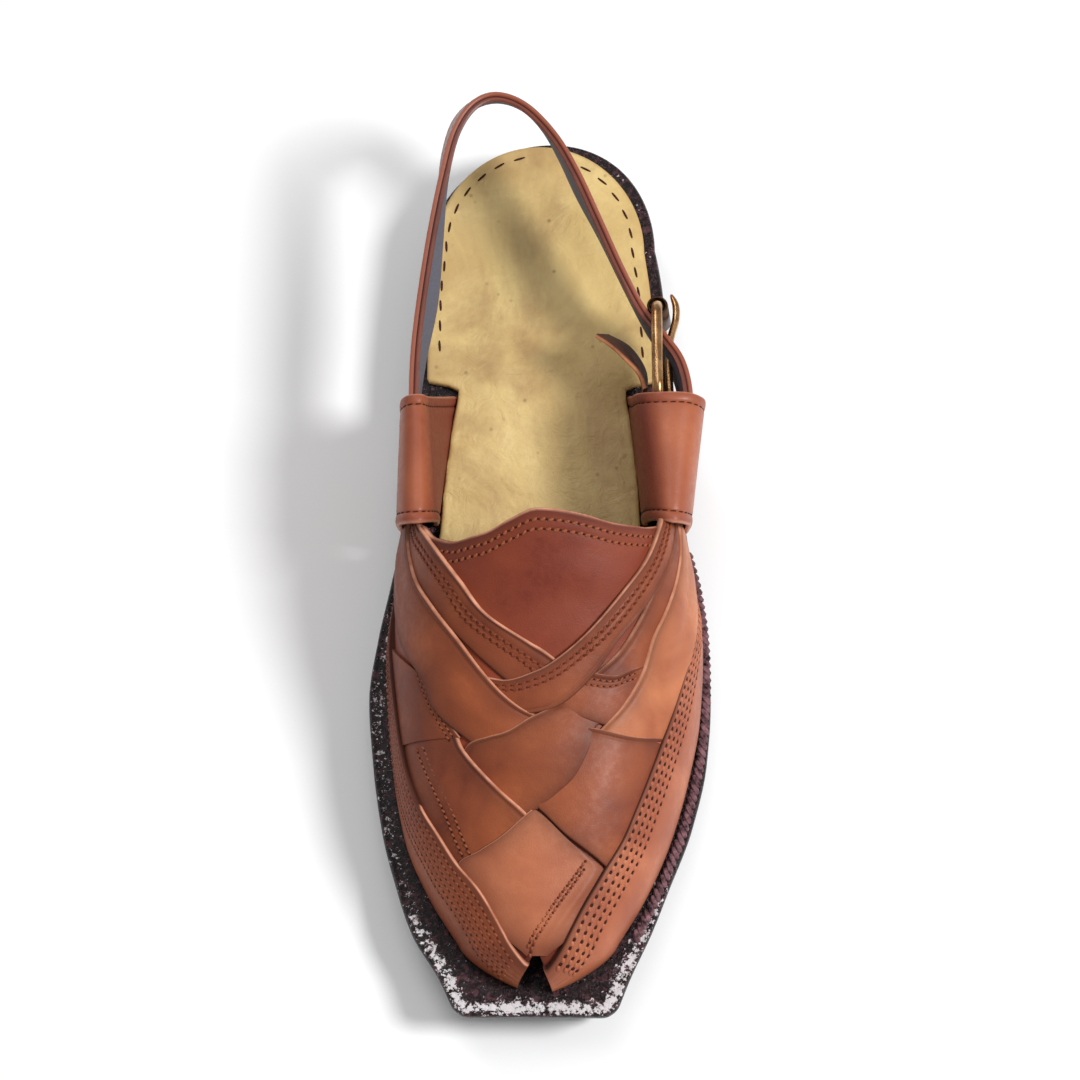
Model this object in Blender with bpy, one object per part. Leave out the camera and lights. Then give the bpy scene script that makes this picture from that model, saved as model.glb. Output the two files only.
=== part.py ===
"""Leather chappal, left shoe: one script that models it piece by piece.

The shoe stands on z = 0 with its toe towards +Y and its inner (medial) side towards +X.
The origin is at the middle of its length and width. Tables and sizes are in millimetres.
"""

import math

import bmesh
import bpy
import numpy as np

MM = 0.001
COLLECTION_NAME = "leather_chappal"
GAP = 0.3  # left between pieces that touch

# Sole
TOE_Y = 150.6
HEEL_Y = -150.7
SOLE_STACK = 15.5  # outsole and midsole together, at the forefoot
MIDSOLE_THICKNESS = 5.5
INSOLE_THICKNESS = 2.8
TOE_SPRING = 8.8
SPRING_START_Y = 58.0
HEEL_HEIGHT = 9.0
SHANK_FRONT_Y = 15.0  # the arch rises from here back to SHANK_REAR_Y
SHANK_REAR_Y = -73.0
HEEL_BREAST_Y = -80.0
WELT_OVERHANG = 0.8  # of the midsole over the outsole
SIDE_DRAFT = 1.6

# Upper
WALL = 2.0
TOE_TIP_Y = 142.0
TOE_ROUND_Y = 128.0
TOE_PLAN_POWER = 1.35
TOE_DROP_POWER = 2.6
RIDGE_FADE_WIDTH = 24.0
KEEPER_RUNGS = 26
STRIP_ROOT = 0.8  # how deep a strap's underside lies in the wall it is joined to

# Heel strap and buckle
STRAP_HEIGHT = 19.0
STRAP_THICKNESS = 3.2
BAR_RADIUS = 1.8
BUCKLE_X = -38.6
BUCKLE_Z = 52.0
BUCKLE_REAR_Y = -72.0  # the bar that the prong rests on
HINGE_Y = -38.0  # the bar that the prong turns on, inside the keeper's mouth
BUCKLE_HEIGHT = 23.6
BUCKLE_LEAN = 1.4  # how far its upper bar stands inside its middle, and its lower bar outside
BUCKLE_CORNER = 6.0
PRONG_RADIUS = 1.2
PRONG_HOLE_RADIUS = 1.7
CHAPE_LEATHER = 2.0
CHAPE_HEIGHT = 11.6
CHAPE_SLOT_HEIGHT = 4.0
CHAPE_FRONT_Y = -25.0

# Sole outline: y, medial half width, lateral half width
SOLE_WIDTHS = (
    (-128.0, 33.6, 33.2),
    (-112.0, 37.2, 38.6),
    (-92.0, 39.6, 41.6),
    (-60.0, 41.4, 43.6),
    (-35.0, 43.0, 45.6),
    (-8.0, 45.8, 48.4),
    (10.0, 49.3, 52.4),
    (26.0, 52.5, 54.6),
    (46.0, 55.0, 55.0),
    (67.0, 53.4, 53.4),
    (90.0, 50.0, 48.0),
    (109.0, 45.0, 40.6),
    (124.0, 39.8, 34.6),
    (138.0, 31.4, 28.0),
    (150.6, 25.6, 23.0),
)
HEEL_ROUND_Y = -110.0
HEEL_APEX_X = -4.0
TOE_CORNER = 4.0

# Insole outline: y, medial half width, lateral half width. It is notched for the keepers' inner feet.
INSOLE_WIDTHS = (
    (-108.0, 35.6, 35.2),
    (-90.0, 37.2, 37.2),
    (-61.5, 37.4, 38.2),
    (-58.5, 26.6, 27.9),
    (-46.0, 28.1, 29.2),
    (-36.0, 29.4, 30.4),
    (-25.0, 30.9, 31.6),
    (-6.0, 32.9, 33.1),
    (-3.0, 39.0, 40.5),
    (12.0, 43.0, 45.6),
    (35.0, 44.0, 47.2),
    (55.0, 43.0, 45.9),
    (75.0, 41.0, 42.0),
    (95.0, 37.0, 35.9),
    (112.0, 30.4, 29.0),
    (124.0, 22.4, 21.4),
    (130.0, 15.0, 14.0),
)
INSOLE_ROUND_Y = -108.0
INSOLE_HEEL_Y = -148.0

# Where the upper meets the welt: y, medial half width, lateral half width
FEATHER_WIDTHS = (
    (-45.0, 39.0, 41.0),
    (-10.0, 42.2, 44.4),
    (12.0, 46.2, 48.9),
    (35.0, 47.4, 50.6),
    (55.0, 46.4, 49.3),
    (75.0, 44.3, 45.3),
    (95.0, 40.4, 39.3),
    (112.0, 33.2, 31.8),
    (128.0, 23.4, 22.3),
)

# Profile of the upper: y, height of its crown, ridge x, squareness of its section
CROWN_LINE = (
    (-45.0, 92.0, 2.0, 2.0),
    (-5.0, 92.0, 2.0, 2.0),
    (8.0, 88.5, 2.0, 2.0),
    (20.0, 80.5, 2.0, 2.05),
    (35.0, 70.5, 2.0, 2.1),
    (50.0, 62.5, 2.0, 2.15),
    (70.0, 55.5, 1.5, 2.2),
    (90.0, 50.0, 1.0, 2.2),
    (110.0, 44.5, 0.5, 2.2),
    (128.0, 39.0, 0.0, 2.2),
    (142.0, 33.0, 0.0, 2.2),
)

# Rear edge of the upper: girth position (1 medial feather, 0 ridge, -1 lateral feather), y
THROAT_EDGE = (
    (-1.0, -6.0),
    (-0.85, -5.0),
    (-0.62, 3.0),
    (-0.46, 8.3),
    (-0.30, 10.3),
    (-0.16, 9.6),
    (-0.02, 9.2),
    (0.10, 11.8),
    (0.22, 14.4),
    (0.34, 14.7),
    (0.50, 10.5),
    (0.62, 3.0),
    (0.85, -5.0),
    (1.0, -6.0),
)

# The toe notch in plan, each side: x at its top, x at its mouth
NOTCH_TOP_Y = 135.6
NOTCH_MOUTH_Y = 143.0
NOTCH_MEDIAL = (3.0, 8.4)
NOTCH_LATERAL = (-0.4, -4.0)

# Straps and panels that lie on the upper. Each row is one rung, from the near end to the far
# end: y, girth and lift at one edge, then y, girth and lift at the other.
TONGUE_SIDE_MEDIAL = (
    (3.0, 0.62, 1.0, 2.0, 0.72, 1.0),
    (10.5, 0.51, 1.1, 15.0, 0.64, 1.0),
    (25.0, 0.32, 1.2, 27.0, 0.50, 1.0),
    (35.5, 0.19, 1.2, 38.0, 0.36, 1.0),
    (44.0, 0.01, 1.2, 50.0, 0.18, 1.0),
    (48.5, -0.07, 1.0, 57.0, 0.06, 0.8),
    (54.0, -0.15, 0.3, 61.0, -0.04, 0.3),
)
CROSS_STRAP_LATERAL = (
    (6.0, -0.55, 1.8, 4.0, -0.67, 1.8),
    (17.5, -0.45, 1.9, 17.0, -0.57, 1.9),
    (28.0, -0.33, 2.0, 30.0, -0.44, 1.9),
    (40.0, -0.19, 2.3, 41.5, -0.31, 2.0),
    (48.5, -0.07, 2.5, 50.5, -0.23, 2.1),
    (52.5, 0.01, 2.4, 57.5, -0.15, 2.1),
    (54.5, 0.10, 1.9, 62.5, -0.07, 1.8),
    (53.5, 0.18, 1.2, 64.5, 0.01, 1.1),
    (52.0, 0.26, 0.4, 65.5, 0.09, 0.3),
)
BROAD_STRAP_MEDIAL = (
    (3.0, 0.70, 1.9, 2.0, 0.90, 1.7),
    (19.5, 0.58, 2.0, 20.0, 0.80, 1.8),
    (30.5, 0.45, 2.1, 37.0, 0.68, 2.0),
    (41.5, 0.31, 2.3, 49.5, 0.53, 2.2),
    (53.0, 0.18, 2.6, 60.0, 0.45, 2.4),
    (60.0, 0.09, 2.3, 66.0, 0.37, 2.0),
    (64.5, 0.00, 1.3, 72.0, 0.27, 1.1),
    (67.0, -0.12, 0.8, 82.0, 0.12, 0.8),
    (68.0, -0.24, 1.9, 92.5, -0.01, 1.4),
    (69.0, -0.39, 2.4, 100.5, -0.14, 2.1),
    (67.5, -0.56, 1.6, 108.0, -0.37, 1.6),
    (66.0, -0.66, 1.0, 110.0, -0.45, 1.0),
)
BROAD_STRAP_LATERAL = (
    (4.0, -0.72, 1.9, 2.0, -0.95, 1.5),
    (18.0, -0.63, 2.0, 16.0, -0.93, 1.5),
    (29.5, -0.54, 2.2, 28.0, -0.92, 1.5),
    (39.5, -0.46, 2.2, 40.0, -0.88, 1.5),
    (50.5, -0.41, 2.1, 52.0, -0.82, 1.5),
    (60.5, -0.33, 1.9, 62.0, -0.76, 1.4),
    (68.5, -0.24, 1.6, 70.0, -0.70, 1.0),
    (74.0, -0.20, 0.5, 76.0, -0.64, 0.3),
)
INNER_STRAP_LATERAL = (
    (6.0, -0.66, 1.1, 4.0, -0.80, 1.0),
    (12.0, -0.605, 1.2, 14.0, -0.71, 1.2),
    (20.0, -0.525, 1.2, 22.0, -0.65, 1.2),
    (32.3, -0.426, 1.2, 36.0, -0.56, 1.2),
    (44.3, -0.32, 1.0, 50.0, -0.47, 1.0),
    (51.1, -0.229, 0.8, 60.0, -0.40, 0.8),
    (55.0, -0.17, 0.4, 64.0, -0.36, 0.4),
)
WINDOW_STRIP = (
    (51.0, -0.13, 0.9, 62.5, -0.05, 0.9),
    (52.0, -0.29, 1.4, 65.5, -0.17, 1.5),
    (49.0, -0.38, 1.4, 67.0, -0.27, 1.2),
    (45.0, -0.50, 0.5, 67.0, -0.38, 0.5),
)
MIDDLE_PANEL = (
    (59.0, -0.16, 0.4, 65.0, -0.33, 0.4),
    (62.0, -0.06, 1.3, 67.0, -0.23, 1.3),
    (64.5, 0.00, 2.0, 74.0, -0.20, 2.1),
    (69.0, 0.10, 2.3, 82.0, -0.15, 2.3),
    (70.5, 0.19, 2.0, 88.0, -0.07, 1.9),
    (72.0, 0.28, 1.3, 93.0, 0.01, 1.1),
    (77.0, 0.35, 0.4, 97.0, 0.09, 0.4),
)
SIDE_PANEL_MEDIAL = (
    (34.0, 0.85, 1.1, 49.5, 0.52, 1.1),
    (52.0, 0.82, 1.3, 61.0, 0.42, 1.3),
    (67.5, 0.74, 1.7, 70.0, 0.32, 1.6),
)
FRONT_PANEL_MEDIAL = (
    (63.0, 0.78, 0.4, 63.0, 0.34, 0.4),
    (69.0, 0.74, 1.1, 70.0, 0.33, 1.4),
    (80.0, 0.70, 1.3, 76.0, 0.28, 2.1),
    (92.0, 0.62, 1.3, 86.0, 0.15, 2.3),
    (105.0, 0.48, 1.1, 94.0, 0.03, 1.6),
    (112.0, 0.40, 0.4, 100.0, -0.02, 0.4),
)
TOE_PANEL = (
    (92.5, 0.02, 1.9, 92.5, 0.00, 1.6),
    (99.4, 0.15, 2.0, 100.0, -0.12, 1.2),
    (103.6, 0.29, 1.8, 105.0, -0.24, 1.0),
    (107.4, 0.46, 1.4, 110.0, -0.39, 1.0),
    (118.0, 0.42, 1.1, 120.0, -0.37, 1.1),
    (127.0, 0.32, 1.1, 128.0, -0.27, 1.1),
    (134.0, 0.13, 1.0, 134.0, -0.08, 1.0),
)
MUDGUARD_MEDIAL = (
    (14.0, 0.95, 0.7, 14.0, 0.99, 0.7),
    (36.0, 0.83, 2.1, 36.0, 0.99, 1.4),
    (55.0, 0.76, 2.4, 55.0, 0.99, 1.5),
    (72.5, 0.70, 2.6, 74.0, 0.99, 1.6),
    (87.0, 0.62, 2.6, 92.0, 0.99, 1.6),
    (97.5, 0.52, 2.6, 107.0, 0.99, 1.6),
    (106.5, 0.45, 2.6, 118.0, 0.99, 1.6),
    (114.0, 0.36, 2.6, 127.0, 0.99, 1.6),
    (125.0, 0.26, 2.6, 134.0, 0.99, 1.6),
    (135.5, 0.11, 2.5, 141.0, 0.99, 1.6),
)
MUDGUARD_LATERAL = (
    (10.0, -0.94, 0.7, 10.0, -0.99, 0.7),
    (26.0, -0.80, 2.1, 26.0, -0.99, 1.4),
    (40.0, -0.70, 2.4, 40.0, -0.99, 1.5),
    (52.0, -0.63, 2.6, 54.0, -0.99, 1.6),
    (67.5, -0.56, 2.6, 72.0, -0.99, 1.6),
    (89.5, -0.47, 2.6, 95.0, -0.99, 1.6),
    (99.5, -0.43, 2.6, 108.0, -0.99, 1.6),
    (108.0, -0.37, 2.6, 119.0, -0.99, 1.6),
    (118.0, -0.29, 2.6, 129.0, -0.99, 1.6),
    (128.0, -0.17, 2.6, 137.0, -0.99, 1.6),
    (136.0, -0.03, 2.5, 141.0, -0.99, 1.6),
)
# The gathered strap ends that run back into the keepers: upper edge x, y, z, then lower edge
WING_MEDIAL = (
    (37.4, 12.0, 55.5, 43.8, 12.0, 32.6),
    (38.2, 2.0, 59.0, 42.4, 2.0, 34.0),
    (39.4, -8.0, 58.5, 40.2, -8.0, 37.0),
    (39.6, -22.0, 58.0, 39.8, -22.0, 38.0),
)
WING_LATERAL = (
    (-38.9, 12.0, 55.5, -46.4, 12.0, 32.6),
    (-38.8, 2.0, 58.2, -43.8, 2.0, 35.0),
    (-39.0, -8.0, 58.2, -41.2, -8.0, 37.0),
    (-38.6, -22.0, 58.0, -40.0, -22.0, 38.0),
)
WING_THICKNESS = 3.2

# Keepers: a leather sleeve over the strap ends, from its outer foot over the ridge to its
# inner foot. Front edge x, y, z, then rear edge x, y, z, of the outside of the leather.
# The rows of no height are the feet, which stand on the welt.
KEEPER_MEDIAL = (
    (44.8, -8.0, 0.0, 41.2, -50.0, 0.0),
    (45.4, -5.0, 31.0, 44.0, -45.0, 37.0),
    (45.6, -1.0, 46.0, 44.6, -41.0, 51.0),
    (44.6, 2.4, 57.0, 43.8, -39.0, 60.8),
    (41.0, 4.0, 62.8, 41.0, -38.6, 65.0),
    (36.0, 3.8, 62.8, 37.1, -38.8, 64.8),
    (32.4, 0.8, 55.0, 35.0, -41.4, 57.0),
    (32.2, -5.6, 37.0, 31.4, -48.8, 40.0),
    (33.4, -12.0, 0.0, 27.4, -56.0, 0.0),
)
KEEPER_LATERAL = (
    (-47.4, -8.0, 0.0, -44.0, -50.0, 0.0),
    (-48.0, -5.0, 31.0, -49.0, -45.0, 36.0),
    (-48.0, -1.0, 46.0, -52.2, -41.0, 50.0),
    (-46.6, 2.5, 57.0, -52.0, -39.0, 61.0),
    (-43.2, 4.0, 63.0, -46.2, -38.6, 66.8),
    (-38.2, 3.5, 63.0, -36.4, -38.6, 67.0),
    (-34.0, 0.5, 55.0, -30.4, -41.0, 60.0),
    (-32.8, -6.0, 36.0, -29.4, -48.0, 42.0),
    (-33.8, -12.0, 0.0, -28.8, -56.0, 0.0),
)
KEEPER_LEATHER = 1.9

# Heel strap, by the middle of its thickness at its upper edge: x, y, z, then how far its
# lower edge stands in from that. At the back it flares outwards.
HEEL_STRAP_PATH = (
    (39.8, -23.5, 60.0, 0.0),
    (40.0, -41.0, 60.9, -0.4),
    (39.4, -57.9, 62.9, 0.8),
    (37.1, -78.4, 65.7, 2.4),
    (34.1, -97.7, 68.5, 0.8),
    (30.6, -114.8, 71.2, -1.8),
    (27.0, -128.0, 73.2, -4.4),
    (21.4, -136.7, 74.2, -7.6),
    (14.1, -139.9, 74.2, -9.0),
    (5.0, -136.5, 73.6, -7.4),
    (-4.2, -126.7, 72.6, -3.8),
    (-11.3, -114.4, 71.0, -2.2),
    (-18.0, -99.4, 68.5, -3.2),
    (-25.6, -82.0, 65.6, -3.8),
    (-32.4, -69.6, 62.0, -3.6),
    (-38.8, -61.0, 61.35, -2.4),
    (-44.4, -52.2, 61.5, -0.6),
    (-46.8, -41.5, 61.0, 0.0),
    (-46.2, -31.0, 60.0, 0.0),
)
STRAP_SAMPLES = 52

# The prong behind its eye: x, y
PRONG_PATH = (
    (-41.6, -46.0),
    (-41.4, -54.0),
    (-42.0, -63.0),
    (-43.9, -70.5),
    (-44.0, -75.5),
    (-42.6, -79.5),
)
PRONG_HOLE_Y = -56.8

# Leather guard between buckle and foot: upper edge x, y, z, then lower edge x, y, z
GUARD_ROWS = (
    (-32.8, -43.4, 58.0, -32.8, -43.4, 40.5),
    (-31.2, -47.8, 58.4, -33.6, -50.4, 41.0),
    (-27.8, -52.0, 58.4, -33.0, -57.2, 42.0),
    (-22.4, -58.0, 57.6, -28.4, -63.6, 44.0),
    (-17.6, -62.8, 55.0, -21.6, -66.4, 47.0),
)
GUARD_THICKNESS = 1.8


def smooth(rows, column, at):
    """A column of a table at the values `at` of its first column, along a cubic that never overshoots."""
    table = np.asarray(rows, dtype=float)
    places, values = table[:, 0], table[:, column]
    steps = np.diff(places)
    rises = np.diff(values) / steps
    slopes = np.zeros_like(values)
    slopes[0], slopes[-1] = rises[0], rises[-1]
    same_way = rises[1:] * rises[:-1] > 0
    total = np.where(same_way, rises[1:] + rises[:-1], 1.0)
    slopes[1:-1] = np.where(same_way, 2 * rises[1:] * rises[:-1] / total, 0.0)
    held = np.clip(at, places[0], places[-1])
    k = np.clip(np.searchsorted(places, held, side="right") - 1, 0, len(steps) - 1)
    t = (held - places[k]) / steps[k]
    return (
        (1 + 2 * t) * (1 - t) ** 2 * values[k]
        + t * (1 - t) ** 2 * steps[k] * slopes[k]
        + t**2 * (3 - 2 * t) * values[k + 1]
        + t**2 * (t - 1) * steps[k] * slopes[k + 1]
    )


def through_rows(rows, count):
    """Points spread evenly along a smooth curve through every column of a table."""
    table = np.asarray(rows, dtype=float)
    ends = (2 * table[:1] - table[1:2], table, 2 * table[-1:] - table[-2:-1])
    padded = np.concatenate(ends)
    fine = []
    for k in range(len(table) - 1):
        before, start, end, after = padded[k : k + 4]
        t = np.linspace(0, 1, 16, endpoint=False)[:, None]
        bend = (end - before) * t + (2 * before - 5 * start + 4 * end - after) * t**2
        fine.append(start + 0.5 * (bend + (3 * start - before - 3 * end + after) * t**3))
    fine = np.concatenate(fine + [table[-1:]])
    walked = np.concatenate(([0], np.cumsum(np.linalg.norm(np.diff(fine, axis=0), axis=1))))
    wanted = np.linspace(0, walked[-1], count)
    return np.stack([np.interp(wanted, walked, column) for column in fine.T], axis=1)


def sole_bottom(y):
    """Underside of the outsole: flat at the forefoot, rising to the toe and over the arch to the heel."""
    toe = np.clip((np.asarray(y) - SPRING_START_Y) / (TOE_Y - SPRING_START_Y), 0, 2)
    arch = np.clip((SHANK_FRONT_Y - np.asarray(y)) / (SHANK_FRONT_Y - SHANK_REAR_Y), 0, 1)
    return TOE_SPRING * toe**2 + HEEL_HEIGHT * arch**2 * (3 - 2 * arch)


def welt_top(y):
    return sole_bottom(y) + SOLE_STACK


def sole_half_width(y, column):
    """Half width of the sole: the table, closed by an ellipse round the heel and by the toe's corners."""
    width = smooth(SOLE_WIDTHS, column, np.maximum(y, HEEL_ROUND_Y))
    heel = np.clip((HEEL_ROUND_Y - y) / (HEEL_ROUND_Y - HEEL_Y), 0, 1)
    corner = np.clip((y - (TOE_Y - TOE_CORNER)) / TOE_CORNER, 0, 1)
    width = width * np.sqrt(1 - heel**2)
    return width - TOE_CORNER * (1 - np.sqrt(1 - corner**2))


def sole_stations():
    """Places along the sole, closer together where its ends are round."""
    heel = HEEL_ROUND_Y - (HEEL_ROUND_Y - HEEL_Y) * np.sin(np.linspace(0, 1, 9) * math.pi / 2)
    heel[-1] = HEEL_Y + 0.1
    middle = np.linspace(HEEL_ROUND_Y, 138, 26)[1:-1]
    flats = np.array([SHANK_REAR_Y, SHANK_FRONT_Y, SPRING_START_Y])
    toe = np.array([138, 143, TOE_Y - TOE_CORNER, TOE_Y - 1.6, TOE_Y - 0.4, TOE_Y])
    places = np.unique(np.concatenate([heel, middle, flats, toe]).round(3))
    return places


def feather_half_width(y, medial):
    """Half width of the upper where it meets the welt, closed to a rounded point at the toe."""
    held = np.minimum(y, TOE_ROUND_Y)
    width = np.where(medial, smooth(FEATHER_WIDTHS, 1, held), smooth(FEATHER_WIDTHS, 2, held))
    t = np.clip((y - TOE_ROUND_Y) / (TOE_TIP_Y - TOE_ROUND_Y), 0, 1)
    return width * (1 - t**TOE_PLAN_POWER) ** (1 / TOE_PLAN_POWER)


def on_form(y, girth):
    """A point of the last: a superellipse section from feather to feather over the crown line."""
    y, girth = np.broadcast_arrays(np.asarray(y, dtype=float), np.asarray(girth, dtype=float))
    width = feather_half_width(y, girth >= 0)
    base = welt_top(y) + GAP
    t = np.clip((y - TOE_ROUND_Y) / (TOE_TIP_Y - TOE_ROUND_Y), 0, 1)
    height = (smooth(CROWN_LINE, 1, y) - base) * (1 - t**TOE_DROP_POWER) ** (1 / TOE_DROP_POWER)
    ridge = smooth(CROWN_LINE, 2, y) * np.clip(width / RIDGE_FADE_WIDTH, 0, 1)
    power = 2 / smooth(CROWN_LINE, 3, y)
    angle = (1 - np.abs(girth)) * math.pi / 2
    reach = np.where(girth >= 0, width - ridge, -width - ridge)
    x = ridge + reach * np.abs(np.cos(angle)) ** power
    return np.stack([x, y, base + height * np.abs(np.sin(angle)) ** power], axis=-1)


def lifted(y, girth, lift):
    """A point of the form moved out along its normal by `lift`."""
    y, girth, lift = np.broadcast_arrays(*(np.asarray(v, dtype=float) for v in (y, girth, lift)))
    held = np.clip(girth, -0.997, 0.997)
    along = on_form(y + 0.4, held) - on_form(y - 0.4, held)
    across = on_form(y, held - 0.002) - on_form(y, held + 0.002)
    normal = np.cross(across, along)
    normal[..., 2] = np.where(np.abs(girth) > 0.97, 0.0, normal[..., 2])  # level at the feather
    normal /= np.linalg.norm(normal, axis=-1, keepdims=True)
    return on_form(y, girth) - normal * lift[..., None]


def new_collection(name, hidden=False):
    collection = bpy.data.collections.new(name)
    collection.hide_render = hidden
    bpy.context.scene.collection.children.link(collection)
    return collection


def material(name, colour, roughness, metallic=0.0):
    made = bpy.data.materials.new(name)
    made.use_nodes = True
    shader = made.node_tree.nodes["Principled BSDF"]
    shader.inputs["Base Color"].default_value = (*colour, 1.0)
    shader.inputs["Roughness"].default_value = roughness
    shader.inputs["Metallic"].default_value = metallic
    made.diffuse_color = (*colour, 1.0)
    return made


def add_mesh(name, vertices, faces, collection, finish):
    """A mesh object from millimetre points, its faces turned outwards."""
    mesh = bpy.data.meshes.new(name)
    mesh.from_pydata((np.asarray(vertices) * MM).tolist(), [], faces)
    work = bmesh.new()
    work.from_mesh(mesh)
    bmesh.ops.recalc_face_normals(work, faces=work.faces)
    work.to_mesh(mesh)
    work.free()
    mesh.shade_smooth()
    mesh.set_sharp_from_angle(angle=math.radians(35))
    mesh.materials.append(finish)
    made = bpy.data.objects.new(name, mesh)
    collection.objects.link(made)
    return made


def sheet(name, outside, inside, collection, finish):
    """A closed body between two grids of the same size."""
    rows, columns = outside.shape[:2]
    number = np.arange(2 * rows * columns).reshape(2, rows, columns)
    faces = []
    for r in range(rows - 1):
        for c in range(columns - 1):
            for side in number:
                faces.append((side[r, c], side[r + 1, c], side[r + 1, c + 1], side[r, c + 1]))
    outer, inner = number
    for edge in (
        np.stack([outer[0], inner[0]]),
        np.stack([outer[-1], inner[-1]]),
        np.stack([outer[:, 0], inner[:, 0]]),
        np.stack([outer[:, -1], inner[:, -1]]),
    ):
        for k in range(edge.shape[1] - 1):
            faces.append((edge[0, k], edge[0, k + 1], edge[1, k + 1], edge[1, k]))
    points = np.concatenate([outside.reshape(-1, 3), inside.reshape(-1, 3)])
    faces = [tuple(int(v) for v in face) for face in faces]
    return add_mesh(name, points, faces, collection, finish)


def grid_normals(grid):
    """Unit normals of a grid of points, from the differences along its rows and columns."""
    normal = np.cross(np.gradient(grid, axis=0), np.gradient(grid, axis=1))
    return normal / np.linalg.norm(normal, axis=-1, keepdims=True)


def plate(name, widths, stations, low, high, collection, finish, low_inset=0.0):
    """A layer of the sole: `widths` gives its half width, `low` and `high` its two faces."""
    across = np.array([-1.0, -0.5, 0.0, 0.5, 1.0])
    medial, lateral = widths(stations, 1), widths(stations, 2)
    faces = []
    for height, inset in ((high, 0.0), (low, low_inset)):
        reach = np.where(across[None, :] > 0, medial[:, None], lateral[:, None])
        heel = np.clip((HEEL_ROUND_Y - stations) / (HEEL_ROUND_Y - HEEL_Y), 0, 1)
        x = across[None, :] * np.maximum(reach - inset, 0.6) + HEEL_APEX_X * heel[:, None] ** 2
        y = np.broadcast_to((stations * (1 - inset / TOE_Y))[:, None], x.shape)
        z = np.broadcast_to(height(stations)[:, None], x.shape)
        faces.append(np.stack([x, y, z], axis=-1))
    return sheet(name, faces[0], faces[1], collection, finish)


def strip(name, rows, collection, finish, count=14, across=5):
    """A strap or panel on the form: a ruled band between its two edges, rooted in the wall."""
    reaches_notch = rows in (MUDGUARD_MEDIAL, MUDGUARD_LATERAL)
    rungs = through_rows(rows, count)
    t = np.linspace(0, 1, across)[None, :]
    y = rungs[:, 0:1] * (1 - t) + rungs[:, 3:4] * t
    girth = np.clip(rungs[:, 1:2] * (1 - t) + rungs[:, 4:5] * t, -1, 1)
    lift = rungs[:, 2:3] * (1 - t) + rungs[:, 5:6] * t
    if reaches_notch:
        y[-1] = notch_edge_y(girth[-1]) - GAP
    return sheet(name, lifted(y, girth, lift), lifted(y, girth, -STRIP_ROOT), collection, finish)


def notch_edge_y(girth):
    """Where each lengthwise line of the form meets the slanting cuts of the toe notch."""
    top, mouth = np.where(girth[:, None] >= 0, NOTCH_MEDIAL, NOTCH_LATERAL).T
    low, high = np.full(len(girth), NOTCH_TOP_Y - 2.0), np.full(len(girth), TOE_TIP_Y - 0.05)
    for _ in range(40):
        middle = (low + high) / 2
        cut = top + (mouth - top) * (middle - NOTCH_TOP_Y) / (NOTCH_MOUTH_Y - NOTCH_TOP_Y)
        beyond = np.abs(on_form(middle, girth)[:, 0]) < np.abs(cut)
        low, high = np.where(beyond, low, middle), np.where(beyond, middle, high)
    return low


def upper_shell(collection, finish):
    """The hollow upper, from the throat to the toe notch and from feather to feather."""
    girth = np.sin(np.linspace(-1, 1, 27) * math.pi / 2) * 0.35 + np.linspace(-1, 1, 27) * 0.65
    rear = smooth(THROAT_EDGE, 1, girth)
    front = notch_edge_y(girth)
    t = (1 - np.cos(np.linspace(0, 1, 24) * math.pi * 0.5)) * 0.35 + np.linspace(0, 1, 24) * 0.65
    t = 1 - t[::-1]
    y = rear[None, :] + (front - rear)[None, :] * t[:, None]
    g = np.broadcast_to(girth, y.shape)
    return sheet("upper", lifted(y, g, 0.0), lifted(y, g, -WALL), collection, finish)


def fuse(body, pieces):
    """Joins every piece of a collection to the body."""
    joined = body.modifiers.new(pieces.name, "BOOLEAN")
    joined.operation = "UNION"
    joined.solver = "EXACT"
    joined.operand_type = "COLLECTION"
    joined.collection = pieces
    for piece in pieces.objects:
        piece.hide_render = True
        piece.display_type = "WIRE"


def cut(body, cutter):
    cutting = body.modifiers.new(cutter.name, "BOOLEAN")
    cutting.operation = "DIFFERENCE"
    cutting.solver = "EXACT"
    cutting.object = cutter
    cutter.hide_render = True
    cutter.display_type = "WIRE"


def keeper(name, rows, collection, finish):
    """A sleeve of leather standing on the welt on its two feet."""
    table = np.array(rows)
    for foot in (0, -1):
        for edge in (0, 3):
            table[foot, edge + 2] = welt_top(table[foot, edge + 1]) + GAP
    rungs = through_rows(table, KEEPER_RUNGS)
    t = np.linspace(0, 1, 4)[None, :, None]
    outside = rungs[:, None, :3] * (1 - t) + rungs[:, None, 3:] * t
    inward = grid_normals(outside)
    if inward[KEEPER_RUNGS // 2, 0, 2] > 0:
        inward = -inward
    inside = outside + inward * KEEPER_LEATHER
    for grid in (outside, inside):
        for foot in (0, -1):
            grid[foot, :, 2] = welt_top(grid[foot, :, 1]) + GAP
    return sheet(name, outside, inside, collection, finish)


def band(name, upper, lower, thickness, collection, finish, across=3):
    """A strap standing on edge between its upper and lower edge lines."""
    t = np.linspace(0, 1, across)[None, :, None]
    middle = upper[:, None] * (1 - t) + lower[:, None] * t
    half = grid_normals(middle) * thickness / 2
    return sheet(name, middle + half, middle - half, collection, finish)


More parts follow.
